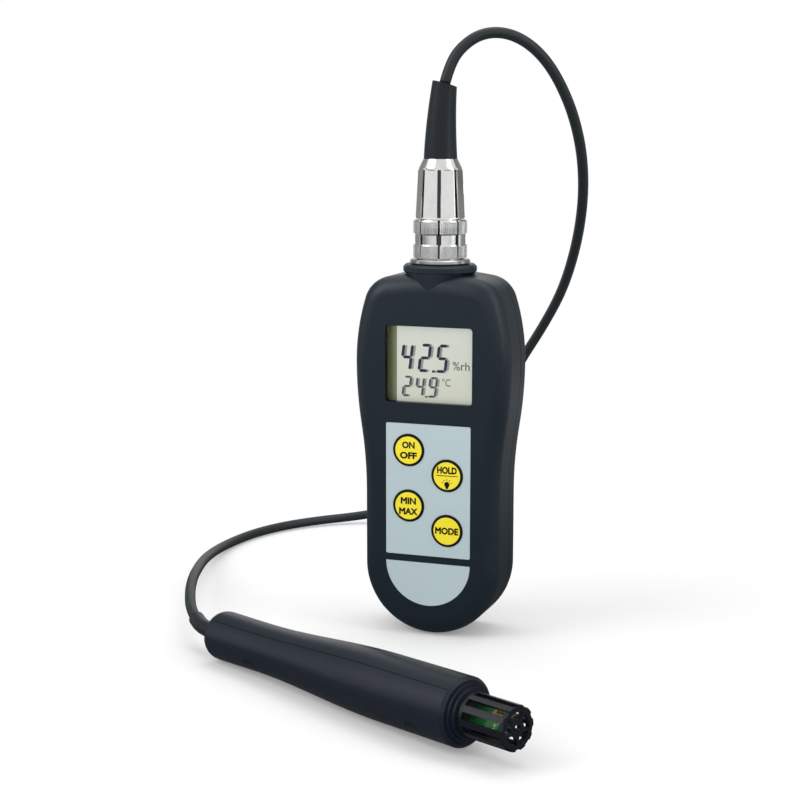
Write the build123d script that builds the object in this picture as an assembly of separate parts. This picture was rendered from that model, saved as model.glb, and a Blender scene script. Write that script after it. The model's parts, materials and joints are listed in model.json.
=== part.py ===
from build123d import *
from math import atan, degrees, pi, radians, sin, tan
import os

os.makedirs("parts", exist_ok=True)

# Handheld thermo-hygrometer with a plug-in humidity probe. Millimetres, Z up.
# The meter stands upright and its keys face -Y. The probe lies on the floor in front of it.

# Case
case_width = 56.0
waist_width = 48.7
case_depth = 25.0
case_height = 126.5
waist_top = 50.0
widest_height = 95.6
shoulder_corner_height = 123.9
side_radius = 74.0
shoulder_radius = 10.5
front_edge_radius = 6.0
rear_edge_radius = 3.0
wall = 2.2
seam_plane = 4.0
seam_groove = 0.3
lip_height = 1.2
lip_clearance = 0.1

# Collar that carries the socket on top of the case
collar_radius = 12.7
collar_foot = 127.0
collar_top = 129.3
collar_edge = 0.8
collar_cone_height = 10.0

# Display
window_width = 31.4
window_height = 26.4
window_centre = 95.6
window_corner = 1.2
window_step = 1.5
window_flange = 1.0
window_sink = 0.6
window_clearance = 0.15
lcd_thickness = 2.0
lcd_margin = 2.4
lcd_clearance = 0.1
guide_thickness = 2.0
strip_thickness = 2.0
lcd_frame_wall = 1.8

# Keypad
panel_width = 30.6
panel_bottom = 28.8
panel_top = 75.1
panel_thickness = 0.5
panel_recess = 0.6
panel_corner = 0.6
panel_clearance = 0.15
key_radius = 5.6
key_clearance = 0.15
key_proud = 0.3
key_edge = 0.25
key_flange = 0.9
key_flange_thickness = 0.9
key_stem_radius = 1.5
key_travel = 0.4
key_spare_travel = 0.05
key_column = 7.0
key_heights = {
    "key_on_off": (-key_column, 65.8),
    "key_hold": (key_column, 57.7),
    "key_min_max": (-key_column, 46.2),
    "key_mode": (key_column, 38.3),
}

# Name plate, a bare D below the keypad
plate_top = 26.3
plate_shoulder = 26.0
plate_bottom = 11.0

# Circuit board and what it carries
board_front = -3.0
board_thickness = 1.6
board_width = 41.0
board_bottom = 24.0
board_top = 113.0
board_corner = 3.0
switch_size = 6.0
switch_body = 3.0
switch_plunger = 0.5
switch_plunger_radius = 1.7
chip_size = 10.0
chip_thickness = 1.4
chip_height = 90.0
post_radius = 1.8
post_places = [(-18.4, 75.5), (18.4, 75.5), (-18.4, 32.0), (18.4, 32.0)]

# Screws that hold the case together
boss_radius = 3.2
boss_places = [(-17.5, 116.6), (17.5, 116.6), (-9.5, 9.6), (9.5, 9.6)]
screw_head_radius = 2.5
screw_head_height = 1.7
screw_shank_radius = 1.3
screw_length = 13.0
screw_clearance = 0.1
counterbore_depth = 2.4
boss_meeting = 4.0

# Battery bay in the rear shell
cell_radius = 5.25
cell_length = 44.5
cell_button_radius = 1.9
cell_button_height = 0.8
cell_edge = 0.5
cell_pitch = 10.8
cell_count = 3
bay_bottom = 17.0
bay_clearance = 0.4
bay_wall = 1.6
bay_floor = 1.0
contact_plate = 0.4
spring_length = 4.6
spring_wide = 3.6
spring_narrow = 1.6

# Battery cover
cover_thickness = 1.8
cover_ledge = 1.0
cover_clearance = 0.15
cover_corner = 2.5
cover_reach = 8.0
tongue_width = 6.0
tongue_length = 1.5
tongue_thickness = 0.8
tongue_offset = 9.0
tongue_clearance = 0.35
insert_radius = 2.1
insert_depth = 5.0
cover_screw_radius = 1.1
cover_screw_play = 0.3
cover_screw_reach = 2.0
cover_screw_below_edge = 4.4

# Socket on the collar
seal_radius = 9.8
seal_thickness = 0.6
flange_radius = 10.4
flange_thickness = 1.2
flange_step = 0.4
barrel_radius = 7.75
barrel_bore = 6.75
barrel_length = 9.5
tail_radius = 7.2
tail_bottom = 118.5
nut_radius = 9.6
nut_thickness = 2.6
nut_seat_radius = 10.4
socket_insert_top = 133.4
contact_circle = 3.6
contact_count = 5
contact_radius = 0.95
contact_bore = 0.58
contact_bottom = 116.6
disc_radius = 6.6
disc_thickness = 1.0
flex_width = 9.0
flex_thickness = 0.3
flex_overlap = 5.0

# Plug
nose_radius = 6.6
nose_bore = 5.4
nose_length = 6.3
plug_flange_radius = 7.65
plug_flange_thickness = 1.7
plug_neck_radius = 6.75
plug_tube_radius = 6.0
plug_tube_top = 152.0
plug_insert_bottom = 136.6
plug_insert_top = 150.0
pin_radius = 0.5
pin_bottom = 124.0
fit = 0.05
ring_radius = 9.2
ring_bore = 8.0
ring_lip_bore = 7.05
ring_bottom_gap = 0.3
ring_top = 144.6
ring_lip = 1.9
ring_edge = 0.4
band_radius = 8.75
band_bottom = 136.3
band_top = 139.5
slot_count = 8
slot_width = 1.2
slot_depth = 0.6
sleeve_foot_radius = 8.45
sleeve_top_radius = 7.6
sleeve_bottom = 144.9
sleeve_top = 161.5
sleeve_slot_margin = 1.2
cone_top_radius = 5.9
cone_top = 165.1
cone_shank_radius = 5.2
cone_shank_length = 6.0
boot_radius = 5.75
boot_middle_radius = 5.0
boot_middle_height = 178.0
boot_middle_shift = 0.3
boot_top_radius = 4.3
boot_root_radius = 3.9
boot_root_length = 7.0

# Cord from the boot to the probe's tail. The points are chosen by hand.
cord_diameter = 3.8
arc_share = 0.45
cord_route = [
    (1.4, 0.0, 190.2),
    (3.0, 1.0, 197.0),
    (6.6, 3.4, 202.9),
    (12.3, 7.0, 207.1),
    (19.3, 11.4, 207.5),
    (26.0, 16.0, 204.1),
    (31.4, 21.2, 197.8),
    (35.4, 27.0, 189.0),
    (38.2, 34.0, 178.0),
    (38.8, 43.5, 164.5),
    (36.6, 54.5, 149.0),
    (30.8, 68.5, 131.5),
    (21.5, 85.0, 112.8),
    (9.0, 102.0, 95.8),
    (-5.5, 118.5, 78.0),
    (-18.5, 132.5, 57.0),
    (-32.5, 142.0, 35.0),
    (-50.0, 145.5, 16.5),
    (-67.5, 143.0, 6.3),
    (-84.0, 136.5, 3.2),
    (-98.5, 126.5, 2.4),
    (-109.5, 112.5, 2.2),
    (-116.0, 96.5, 2.1),
    (-118.4, 79.5, 2.1),
    (-117.3, 62.5, 2.9),
    (-113.0, 45.0, 4.7),
    (-106.5, 27.0, 7.4),
    (-99.2, 8.6, 10.1),
    (-92.3, -9.3, 11.8),
    (-85.0, -26.5, 11.6),
    (-76.5, -42.5, 9.8),
    (-66.5, -53.8, 8.2),
]

# Probe, drawn along X from its tail, then rolled, tilted and laid on the floor
tail_place = (-58.2, -58.2)
probe_heading = -27.8
probe_roll = 39.0
probe_wall = 2.2
handle_tail_radius = 8.15
handle_waist_radius = 8.1
handle_waist = 33.0
handle_head_radius = 10.5
handle_flare_end = 86.0
handle_length = 119.0
handle_tail_dome = 4.0
handle_front_edge = 1.0
handle_groove = 0.25
pinch_boss_radius = 2.9
pinch_places = [25.5, 104.8]
plug_disc_radius = 2.8
plug_disc_play = 0.22
plug_disc_depth = 1.6
handle_screw_radius = 1.0
handle_screw_head = 1.9
handle_screw_head_height = 1.3
step_one_radius = 8.7
step_one_length = 1.0
step_two_radius = 7.7
step_two_length = 1.2
nose_shank_radius = 8.2
nose_shank_length = 9.0
guard_radius = 6.7
guard_bore = 5.4
guard_length = 17.7
guard_shank_radius = 6.0
guard_shank_bore = 5.0
guard_shank_length = 8.0
guard_shank_play = 0.1
guard_collar = 1.9
guard_slots = 10
guard_rib = 2.0
guard_disc = 1.5
guard_rim_notch = 0.7
guard_windows = 5
guard_spoke = 1.0
guard_hub_radius = 2.6
guard_hub_bore = 1.2
guard_window_radius = 4.7
holder_radius = 4.7
holder_length = 11.1
lead_channel_length = 4.2
lead_channel_width = 4.6
sensor_board_width = 7.0
sensor_board_thickness = 1.0
sensor_board_length = 26.8
sensor_board_reach = 14.0
sensor_width = 4.0
sensor_length = 5.0
sensor_height = 1.3
bead_radius = 1.1
bead_leg_radius = 0.25
probe_board_start = 36.0
probe_board_end = 100.6
probe_board_width = 9.0
probe_board_thickness = 1.6
lead_radius = 0.35
lead_bend = 0.7
lead_offset = 1.5
lead_height = 3.7
sleeve_radius = 2.7
sleeve_hole_play = 0.1
grip_radius = 4.2
grip_thickness = 2.0


def lay_upright(shape, depth):
    """Stand a face drawn in XY upright at y = depth, so that its Y becomes Z and it faces -Y."""
    plane = Plane(origin=(0, depth, 0), x_dir=(1, 0, 0), z_dir=(0, -1, 0))
    return plane * shape


def slab(face, front, back):
    """Extrude an upright face from y = back forwards to y = front."""
    return extrude(lay_upright(face, back), amount=back - front)


def drum(radius, front, back, place=(0, 0)):
    """A round bar along Y."""
    return slab(Pos(place[0], place[1]) * Circle(radius), front, back)


def turned(points):
    """Turn an outline of (radius, height) points about Z."""
    outline = make_face(Polyline([(r, 0, z) for r, z in points], close=True))
    return revolve(outline, Axis.Z)


def bar_along_x(radius, start, end):
    """A round bar along X."""
    return extrude(Plane(origin=(start, 0, 0), z_dir=(1, 0, 0)) * Circle(radius), amount=end - start)


def block(low, high):
    """A box between two opposite corners."""
    size = [b - a for a, b in zip(low, high)]
    middle = [(a + b) / 2 for a, b in zip(low, high)]
    return Pos(*middle) * Box(*size)


def ring_of(shape, count, axis=Axis.Z):
    """Copies of a shape evenly spaced about an axis."""
    return [shape.rotate(axis, 360 / count * i) for i in range(count)]


# Case shells

def case_outline():
    """Front view of the case: round foot, slim waist, wide head, rounded shoulders."""
    half_waist = waist_width / 2
    half_width = case_width / 2
    turn = ((half_waist + half_width) / 2, (waist_top + widest_height) / 2)
    rise = shoulder_corner_height - widest_height
    corner = (half_width - side_radius + (side_radius**2 - rise**2) ** 0.5, shoulder_corner_height)
    right = [
        Line((half_waist, half_waist), (half_waist, waist_top)),
        TangentArc((half_waist, waist_top), turn, tangent=(0, 1)),
        TangentArc((half_width, widest_height), turn, tangent=(0, -1)),
        TangentArc((half_width, widest_height), corner, tangent=(0, 1)),
    ]
    left = [mirror(edge, about=Plane.YZ) for edge in right]
    foot = ThreePointArc((-half_waist, half_waist), (0, 0), (half_waist, half_waist))
    crown = ThreePointArc((-corner[0], corner[1]), (0, case_height), corner)
    outline = make_face([foot, crown] + [edge for edge in right + left])
    return fillet(outline.vertices().sort_by(Axis.Y)[-2:], shoulder_radius)


def case_block(inset):
    """The whole case as a solid, drawn inwards on every side by inset."""
    outline = case_outline()
    if inset > 0:
        outline = offset(outline, amount=-inset)
    body = slab(outline, -case_depth / 2 + inset, case_depth / 2 - inset)
    body = fillet(body.edges().group_by(Axis.Y)[0], front_edge_radius - inset)
    return fillet(body.edges().group_by(Axis.Y)[-1], rear_edge_radius - inset)


front_face = -case_depth / 2
rear_face = case_depth / 2
front_inside = front_face + wall
rear_inside = rear_face - wall
board_back = board_front + board_thickness

case_solid = case_block(0.0)
case_cavity = case_block(wall)

collar = turned([
    (0, collar_foot - collar_cone_height),
    (collar_radius - collar_cone_height, collar_foot - collar_cone_height),
    (collar_radius, collar_foot),
    (collar_radius, collar_top - collar_edge),
    (collar_radius - collar_edge, collar_top),
    (0, collar_top),
])
nut_seat = case_height - wall + 0.1
socket_hole = Pos(0, 0, collar_top) * Cylinder(tail_radius + fit, 60)
nut_space = Pos(0, 0, nut_seat - 5) * Cylinder(nut_seat_radius, 10)
shell_pair = case_solid + collar - case_cavity - socket_hole - nut_space

seam = Plane(origin=(0, seam_plane, 0), z_dir=(0, 1, 0))
front_shell = split(shell_pair, bisect_by=seam, keep=Keep.BOTTOM)
rear_shell = split(shell_pair, bisect_by=seam, keep=Keep.TOP)

# The rear shell's lip enters a rebate in the front shell, and a fine groove marks the seam
lip_outside = offset(case_outline(), amount=-wall / 2 - lip_clearance)
lip_inside = offset(case_outline(), amount=-wall)
lip = slab(lip_outside - lip_inside, seam_plane - lip_height, seam_plane)
rebate = slab(
    offset(case_outline(), amount=-wall / 2), seam_plane - lip_height - lip_clearance, seam_plane
)
groove = slab(
    case_outline() - offset(case_outline(), amount=-seam_groove), seam_plane, seam_plane + seam_groove
)
groove -= Pos(0, 0, collar_top) * Cylinder(collar_radius, 2 * collar_cone_height)
front_shell -= rebate
rear_shell = rear_shell + lip - groove - socket_hole - nut_space

# Screw bosses, cut to the cavity so that they end on the walls
front_bosses = [drum(boss_radius, front_inside - wall / 2, boss_meeting, p) for p in boss_places]
rear_bosses = [drum(boss_radius, boss_meeting, rear_inside + wall / 2, p) for p in boss_places]
front_posts = [drum(post_radius, front_inside - wall / 2, board_front, p) for p in post_places]
grown_cavity = case_block(wall / 2)
for boss in front_bosses + front_posts:
    front_shell += boss & grown_cavity
for boss in rear_bosses:
    rear_shell += boss & grown_cavity

screw_top = rear_face - counterbore_depth + screw_head_height
shank_end = rear_face - counterbore_depth - screw_length
case_screws = []
for place in boss_places:
    hole = drum(screw_shank_radius + screw_clearance, shank_end - screw_clearance, rear_face, place)
    counterbore = drum(
        screw_head_radius + screw_clearance, rear_face - counterbore_depth, rear_face, place
    )
    front_shell -= hole
    rear_shell = rear_shell - hole - counterbore
    head = drum(screw_head_radius, rear_face - counterbore_depth, screw_top, place)
    case_screws.append(head + drum(screw_shank_radius, shank_end, screw_top, place))

# Display window, panel recesses and key holes in the front shell
window_hole = Pos(0, window_centre) * RectangleRounded(window_width, window_height, window_corner)
front_shell -= slab(window_hole, front_face - 1, front_inside + 1)

panel_height = panel_top - panel_bottom
panel_centre = (panel_top + panel_bottom) / 2
key_hole_radius = key_radius + key_clearance


def panel_outline(grow):
    """The keypad panel, made larger on each side by grow."""
    size = (panel_width + 2 * grow, panel_height + 2 * grow)
    return Pos(0, panel_centre) * RectangleRounded(*size, panel_corner + grow)


def plate_outline(grow):
    """The D-shaped name plate, made larger on each side by grow."""
    side = panel_width / 2
    edges = [
        Line((-side, plate_shoulder), (-side, plate_top)),
        Line((-side, plate_top), (side, plate_top)),
        Line((side, plate_top), (side, plate_shoulder)),
        ThreePointArc((side, plate_shoulder), (0, plate_bottom), (-side, plate_shoulder)),
    ]
    outline = make_face(edges)
    return offset(outline, amount=grow) if grow > 0 else outline


front_shell -= slab(panel_outline(panel_clearance), front_face - 1, front_face + panel_recess)
front_shell -= slab(plate_outline(panel_clearance), front_face - 1, front_face + panel_recess)
for place in key_heights.values():
    front_shell -= drum(key_hole_radius, front_face - 1, front_inside + 1, place)

# Battery bay: a tray moulded in the rear shell, open at the back under the cover
bay_half_width = cell_pitch * (cell_count - 1) / 2 + cell_radius + bay_clearance
bay_length = cell_length + spring_length + contact_plate + 0.2
bay_top = bay_bottom + bay_length
cover_inside = rear_face - cover_thickness
bay_floor_face = board_back + bay_floor
tray_outer = block(
    (-bay_half_width - bay_wall, board_back, bay_bottom - bay_wall),
    (bay_half_width + bay_wall, rear_inside + wall / 2, bay_top + bay_wall),
)
bay_space = block(
    (-bay_half_width, bay_floor_face, bay_bottom),
    (bay_half_width, rear_face + 1, bay_top),
)

cover_bottom = bay_bottom - cover_ledge
cover_top = bay_top + cover_reach
cover_half_width = bay_half_width + cover_ledge


def cover_outline(grow):
    """The battery cover's outline, made larger on each side by grow."""
    size = (2 * (cover_half_width + grow), cover_top - cover_bottom + 2 * grow)
    middle = (cover_top + cover_bottom) / 2
    return Pos(0, middle) * RectangleRounded(*size, cover_corner + grow)


cover_screw_place = (0, cover_top - cover_screw_below_edge)
insert_boss = drum(insert_radius + 1.4, board_back, rear_inside + wall / 2, cover_screw_place)
insert_hole = drum(
    insert_radius + fit, cover_inside - insert_depth, rear_face, cover_screw_place
)
tongue_top = cover_inside + tongue_thickness
tongue_slots = []
for side in (-tongue_offset, tongue_offset):
    reach = tongue_width / 2 + tongue_clearance
    tongue_slots.append(block(
        (side - reach, cover_inside - 1.2, cover_bottom - tongue_length - tongue_clearance),
        (side + reach, tongue_top + cover_clearance, bay_bottom + 0.1),
    ))

rear_shell = rear_shell + tray_outer + insert_boss
rear_shell = rear_shell - bay_space - insert_hole
rear_shell -= slab(cover_outline(cover_clearance), cover_inside, rear_face + 1)
for slot in tongue_slots:
    rear_shell -= slot

battery_cover = slab(cover_outline(0), cover_inside, rear_face)
for side in (-tongue_offset, tongue_offset):
    battery_cover += block(
        (side - tongue_width / 2, cover_inside, cover_bottom - tongue_length),
        (side + tongue_width / 2, tongue_top, cover_bottom + 1),
    )
cover_head_height = cover_thickness - 0.6
cover_head_radius = screw_head_radius
cover_head_seat = rear_face - 0.2 - cover_head_height
battery_cover -= drum(cover_head_radius + fit, cover_head_seat, rear_face + 1, cover_screw_place)
battery_cover -= drum(cover_screw_radius + fit, front_face, rear_face, cover_screw_place)
grip_ribs = [
    block((-8, rear_face - 0.5, z), (8, rear_face + 1, z + 1.0))
    for z in [cover_bottom + 4 + 2.2 * i for i in range(4)]
]
for rib in grip_ribs:
    battery_cover -= rib

cover_screw = drum(
    cover_head_radius, cover_head_seat, cover_head_seat + cover_head_height, cover_screw_place
)
cover_screw += drum(
    cover_screw_radius, cover_inside - cover_screw_reach, cover_head_seat + 0.5, cover_screw_place
)
slot_cut = block(
    (-cover_head_radius, cover_head_seat + cover_head_height - 0.6, cover_screw_place[1] - 0.4),
    (cover_head_radius, rear_face + 1, cover_screw_place[1] + 0.4),
)
cover_screw -= slot_cut
cover_insert = drum(insert_radius, cover_inside - insert_depth, cover_inside, cover_screw_place)
cover_insert -= drum(
    cover_screw_radius + cover_screw_play, front_face, rear_face, cover_screw_place
)

# Cells, springs and contact plates. Neighbouring cells point opposite ways.
cell_axis = bay_floor_face + cell_radius + 0.1
cell_bottom = bay_bottom + contact_plate + 0.1


def aaa_cell():
    """A dry cell standing on z = 0 with its button up."""
    can = Cylinder(cell_radius, cell_length - cell_button_height, align=(Align.CENTER, Align.CENTER, Align.MIN))
    can = chamfer(can.edges().filter_by(GeomType.CIRCLE), cell_edge)
    button = Pos(0, 0, cell_length - cell_button_height) * Cylinder(
        cell_button_radius, cell_button_height, align=(Align.CENTER, Align.CENTER, Align.MIN)
    )
    return can + button


cells = []
battery_springs = []
battery_plates = []
for i in range(cell_count):
    x = cell_pitch * (i - (cell_count - 1) / 2)
    button_up = i % 2 == 0
    spring_z = bay_bottom if button_up else bay_top
    plate_z = bay_top - contact_plate if button_up else bay_bottom
    turn = 0 if button_up else 180
    spring = turned([
        (0, 0), (spring_wide, 0), (spring_wide, 0.6), (spring_narrow, spring_length), (0, spring_length)
    ])
    battery_springs.append(Pos(x, cell_axis, spring_z) * Rot(turn, 0, 0) * spring)
    foot = spring_z + spring_length if button_up else spring_z - spring_length
    cells.append(Pos(x, cell_axis, foot) * Rot(turn, 0, 0) * aaa_cell())
    battery_plates.append(block(
        (x - cell_radius + 0.6, cell_axis - cell_radius + 0.6, plate_z),
        (x + cell_radius - 0.6, cell_axis + cell_radius - 0.6, plate_z + contact_plate),
    ))

# Display stack
lens_flange = slab(
    Pos(0, window_centre)
    * RectangleRounded(window_width + 2 * window_step, window_height + 2 * window_step, window_corner),
    front_inside, front_inside + window_flange,
)
lens_face = slab(
    Pos(0, window_centre)
    * RectangleRounded(
        window_width - 2 * window_clearance, window_height - 2 * window_clearance, window_corner
    ),
    front_face + window_sink, front_inside,
)
lcd_window = lens_flange + lens_face

lcd_front = front_inside + window_flange + lcd_clearance
lcd_back = lcd_front + lcd_thickness
lcd_width = window_width + 2 * lcd_margin
lcd_height = window_height + 2 * lcd_margin - 1.0
frame_front = front_inside + window_flange


def upright_rectangle(width, height, front, back, centre=(0, window_centre)):
    """A plain upright plate."""
    return slab(Pos(centre[0], centre[1]) * Rectangle(width, height), front, back)


lcd_glass = upright_rectangle(lcd_width, lcd_height, lcd_front, lcd_back)
guide_height = lcd_height - 2 * strip_thickness - 0.4
light_guide = upright_rectangle(lcd_width, guide_height, lcd_back, lcd_back + guide_thickness)
strip_offset = (lcd_height - strip_thickness) / 2
elastomer_strips = [
    upright_rectangle(
        lcd_width, strip_thickness, lcd_back, board_front, (0, window_centre + sign * strip_offset)
    )
    for sign in (-1, 1)
]
frame_outer_width = lcd_width + 2 * lcd_frame_wall
frame_outer_height = lcd_height + 2 * lcd_frame_wall
lcd_frame = upright_rectangle(frame_outer_width, frame_outer_height, frame_front, board_front)
lcd_frame -= upright_rectangle(
    lcd_width + 2 * lcd_clearance, lcd_height + 2 * lcd_clearance, front_face, rear_face
)

# Circuit board
board_height = board_top - board_bottom
board_centre = (board_top + board_bottom) / 2
board_shape = Pos(0, board_centre) * RectangleRounded(board_width, board_height, board_corner)
main_board = slab(board_shape, board_front, board_back)
tact_switches = []
for place in key_heights.values():
    body = upright_rectangle(switch_size, switch_size, board_front - switch_body, board_front, place)
    plunger = drum(
        switch_plunger_radius, board_front - switch_body - switch_plunger, board_front, place
    )
    tact_switches.append(body + plunger)
microcontroller = upright_rectangle(
    chip_size, chip_size, board_back, board_back + chip_thickness, (0, chip_height)
)

# Keypad panel, name plate and keys
keypad_panel = slab(panel_outline(0), front_face + panel_recess - panel_thickness, front_face + panel_recess)
name_plate = slab(plate_outline(0), front_face + panel_recess - panel_thickness, front_face + panel_recess)
for place in key_heights.values():
    keypad_panel -= drum(key_hole_radius, front_face - 1, front_inside, place)

key_top = front_face + panel_recess - panel_thickness - key_proud
key_stem_end = board_front - switch_body - switch_plunger - key_travel - key_spare_travel
keys = {}
for name, place in key_heights.items():
    cap = drum(key_radius, key_top, front_inside, place)
    cap = chamfer(cap.edges().group_by(Axis.Y)[0], key_edge)
    flange = drum(key_radius + key_flange, front_inside, front_inside + key_flange_thickness, place)
    stem = drum(key_stem_radius, front_inside, key_stem_end, place)
    keys[name] = cap + flange + stem

# Socket on the collar
seal_top = collar_top + seal_thickness
flange_top = seal_top + flange_thickness
barrel_top = flange_top + barrel_length
socket_seal = turned([
    (tail_radius + fit, collar_top), (seal_radius, collar_top),
    (seal_radius, seal_top), (tail_radius + fit, seal_top),
])
socket_body = turned([
    (barrel_bore, tail_bottom),
    (tail_radius, tail_bottom),
    (tail_radius, seal_top),
    (flange_radius, seal_top),
    (flange_radius, flange_top - flange_step),
    (flange_radius - flange_step, flange_top),
    (barrel_radius, flange_top),
    (barrel_radius, barrel_top),
    (barrel_bore, barrel_top),
])
nut_outline = RegularPolygon(nut_radius, 6)
socket_nut = extrude(Pos(0, 0, nut_seat - nut_thickness) * nut_outline, amount=nut_thickness)
socket_nut -= Cylinder(tail_radius + fit, 4 * case_height)

disc_top = contact_bottom
contact_spot = Pos(contact_circle, 0, 0)
contact_bar = contact_spot * Cylinder(contact_radius, socket_insert_top - contact_bottom, align=(Align.CENTER, Align.CENTER, Align.MIN))
contact_bar -= contact_spot * Pos(0, 0, 2) * Cylinder(
    contact_bore, socket_insert_top, align=(Align.CENTER, Align.CENTER, Align.MIN)
)
socket_contacts = ring_of(Pos(0, 0, contact_bottom) * contact_bar, contact_count)
contact_hole = Pos(contact_circle, 0, socket_insert_top) * Cylinder(contact_radius + fit, 60)
socket_insert = turned([
    (0, tail_bottom), (barrel_bore - fit, tail_bottom),
    (barrel_bore - fit, socket_insert_top), (0, socket_insert_top),
])
for hole in ring_of(contact_hole, contact_count):
    socket_insert -= hole
socket_disc = Pos(0, 0, disc_top - disc_thickness) * Cylinder(
    disc_radius, disc_thickness, align=(Align.CENTER, Align.CENTER, Align.MIN)
)
socket_flex = block(
    (-flex_width / 2, board_back, board_top - flex_overlap),
    (flex_width / 2, board_back + flex_thickness, disc_top - disc_thickness),
)

# Plug: shell with nose and flange, coupling ring, sleeve, clamp cone and boot
plug_shell = turned([
    (nose_bore, barrel_top - nose_length),
    (nose_radius, barrel_top - nose_length),
    (nose_radius, barrel_top),
    (plug_flange_radius, barrel_top),
    (plug_flange_radius, barrel_top + plug_flange_thickness),
    (plug_neck_radius, barrel_top + plug_flange_thickness),
    (plug_neck_radius, sleeve_bottom),
    (plug_tube_radius, sleeve_bottom),
    (plug_tube_radius, plug_tube_top),
    (nose_bore, plug_tube_top),
])
ring_bottom = flange_top + ring_bottom_gap
ring_lip_bottom = ring_top - ring_lip
coupling_ring = turned([
    (ring_bore, ring_bottom),
    (ring_radius - ring_edge, ring_bottom),
    (ring_radius, ring_bottom + ring_edge),
    (ring_radius, band_bottom - ring_edge),
    (band_radius, band_bottom),
    (band_radius, band_top),
    (ring_radius, band_top + ring_edge),
    (ring_radius, ring_top - ring_edge),
    (ring_radius - ring_edge, ring_top),
    (ring_lip_bore, ring_top),
    (ring_lip_bore, ring_lip_bottom),
    (ring_bore, ring_lip_bottom),
])
band_slot = block(
    (band_radius - slot_depth + 0.1, -slot_width / 2, band_bottom),
    (ring_radius + 1, slot_width / 2, band_top),
)
for slot in ring_of(band_slot, slot_count):
    coupling_ring -= slot

plug_insert = turned([
    (0, plug_insert_bottom), (nose_bore - fit, plug_insert_bottom),
    (nose_bore - fit, plug_insert_top), (0, plug_insert_top),
])
pin_spot = Pos(contact_circle, 0, pin_bottom)
pin_top = plug_insert_top + 1.5
plug_pin = pin_spot * Cylinder(pin_radius, pin_top - pin_bottom, align=(Align.CENTER, Align.CENTER, Align.MIN))
pin_hole = pin_spot * Cylinder(pin_radius + fit, 60, align=(Align.CENTER, Align.CENTER, Align.MIN))
plug_pins = ring_of(plug_pin, contact_count)
for hole in ring_of(pin_hole, contact_count):
    plug_insert -= hole

plug_sleeve = turned([
    (plug_tube_radius + fit, sleeve_bottom),
    (sleeve_foot_radius, sleeve_bottom),
    (sleeve_top_radius, sleeve_top),
    (cone_shank_radius + fit, sleeve_top),
    (cone_shank_radius + fit, plug_tube_top + 0.1),
    (plug_tube_radius + fit, plug_tube_top + 0.1),
])
sleeve_length = sleeve_top - sleeve_bottom
sleeve_lean = degrees(atan((sleeve_foot_radius - sleeve_top_radius) / sleeve_length))
flute = block(
    (-slot_depth, -slot_width / 2, sleeve_slot_margin),
    (2, slot_width / 2, sleeve_length - sleeve_slot_margin),
)
flute = Pos(sleeve_foot_radius, 0, sleeve_bottom) * Rot(0, -sleeve_lean, 0) * flute
for slot in ring_of(flute, slot_count):
    plug_sleeve -= slot

clamp_cone = turned([
    (boot_root_radius + fit, sleeve_top - cone_shank_length),
    (cone_shank_radius, sleeve_top - cone_shank_length),
    (cone_shank_radius, sleeve_top),
    (sleeve_top_radius - 0.2, sleeve_top),
    (sleeve_top_radius - 0.2, sleeve_top + 0.6),
    (cone_top_radius, cone_top),
    (boot_root_radius + fit, cone_top),
])

first_run = Vector(*cord_route[1]) - Vector(*cord_route[0])
boot_top = Plane(origin=cord_route[0], z_dir=first_run)
boot_middle = Plane(origin=(boot_middle_shift, 0, boot_middle_height))
boot = loft([
    Plane(origin=(0, 0, cone_top)) * Circle(boot_radius),
    boot_middle * Circle(boot_middle_radius),
    boot_top * Circle(boot_top_radius),
])
boot += Pos(0, 0, cone_top - boot_root_length) * Cylinder(
    boot_root_radius, boot_root_length + 1, align=(Align.CENTER, Align.CENTER, Align.MIN)
)

# Probe in its own frame: X from tail to tip, Z up, split along the plane y = 0
head_end = handle_length
step_one_end = head_end + step_one_length
guard_base = step_one_end + step_two_length
tip = guard_base + guard_length
holder_end = guard_base


def handle_profile(inset, start):
    """Half outline of the handle over X, drawn inwards by inset and starting at x = start."""
    dome = handle_tail_dome - inset if inset == 0 else 0.5
    tail = handle_tail_radius - inset
    head = handle_head_radius - inset
    waist = handle_waist_radius - inset
    edge = handle_front_edge if inset == 0 else 0
    end = head_end - edge if inset == 0 else head_end + 1
    edges = [
        Line((start, 0), (start, tail - dome)),
        RadiusArc((start, tail - dome), (start + dome, tail), dome),
        Spline((start + dome, tail), (handle_waist, waist), (handle_flare_end, head), tangents=((1, 0), (1, 0))),
        Line((handle_flare_end, head), (end, head)),
    ]
    if inset == 0:
        edges.append(Line((end, head), (head_end, head - edge)))
        edges.append(Line((head_end, head - edge), (head_end, 0)))
    else:
        edges.append(Line((end, head), (end, 0)))
    edges.append(Line((edges[-1] @ 1), (start, 0)))
    return make_face(edges)


handle_solid = revolve(handle_profile(0, 0), Axis.X)
handle_hollow = revolve(handle_profile(probe_wall, probe_wall), Axis.X)
neck_space = bar_along_x(nose_shank_radius + fit, head_end - nose_shank_length - 0.1, head_end + 1)
neck_wall = bar_along_x(handle_head_radius - 0.5, head_end - nose_shank_length - 2.1, head_end - handle_front_edge)
lead_space = bar_along_x(holder_radius + fit, head_end - holder_length, head_end + 1)
sleeve_hole = bar_along_x(sleeve_radius + sleeve_hole_play, -1, probe_wall + 1)
handle = handle_solid - handle_hollow
handle += neck_wall - neck_space
handle = handle - neck_space - lead_space - sleeve_hole

pinch_bosses = [
    Pos(x, 0, 0) * Rot(90, 0, 0) * Cylinder(pinch_boss_radius, 2 * handle_head_radius) & handle_solid
    for x in pinch_places
]
for boss in pinch_bosses:
    handle += boss
handle_seam = Plane(origin=(0, 0, 0), z_dir=(0, 1, 0))
handle_front = split(handle, bisect_by=handle_seam, keep=Keep.BOTTOM)
handle_rear = split(handle, bisect_by=handle_seam, keep=Keep.TOP)


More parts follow.
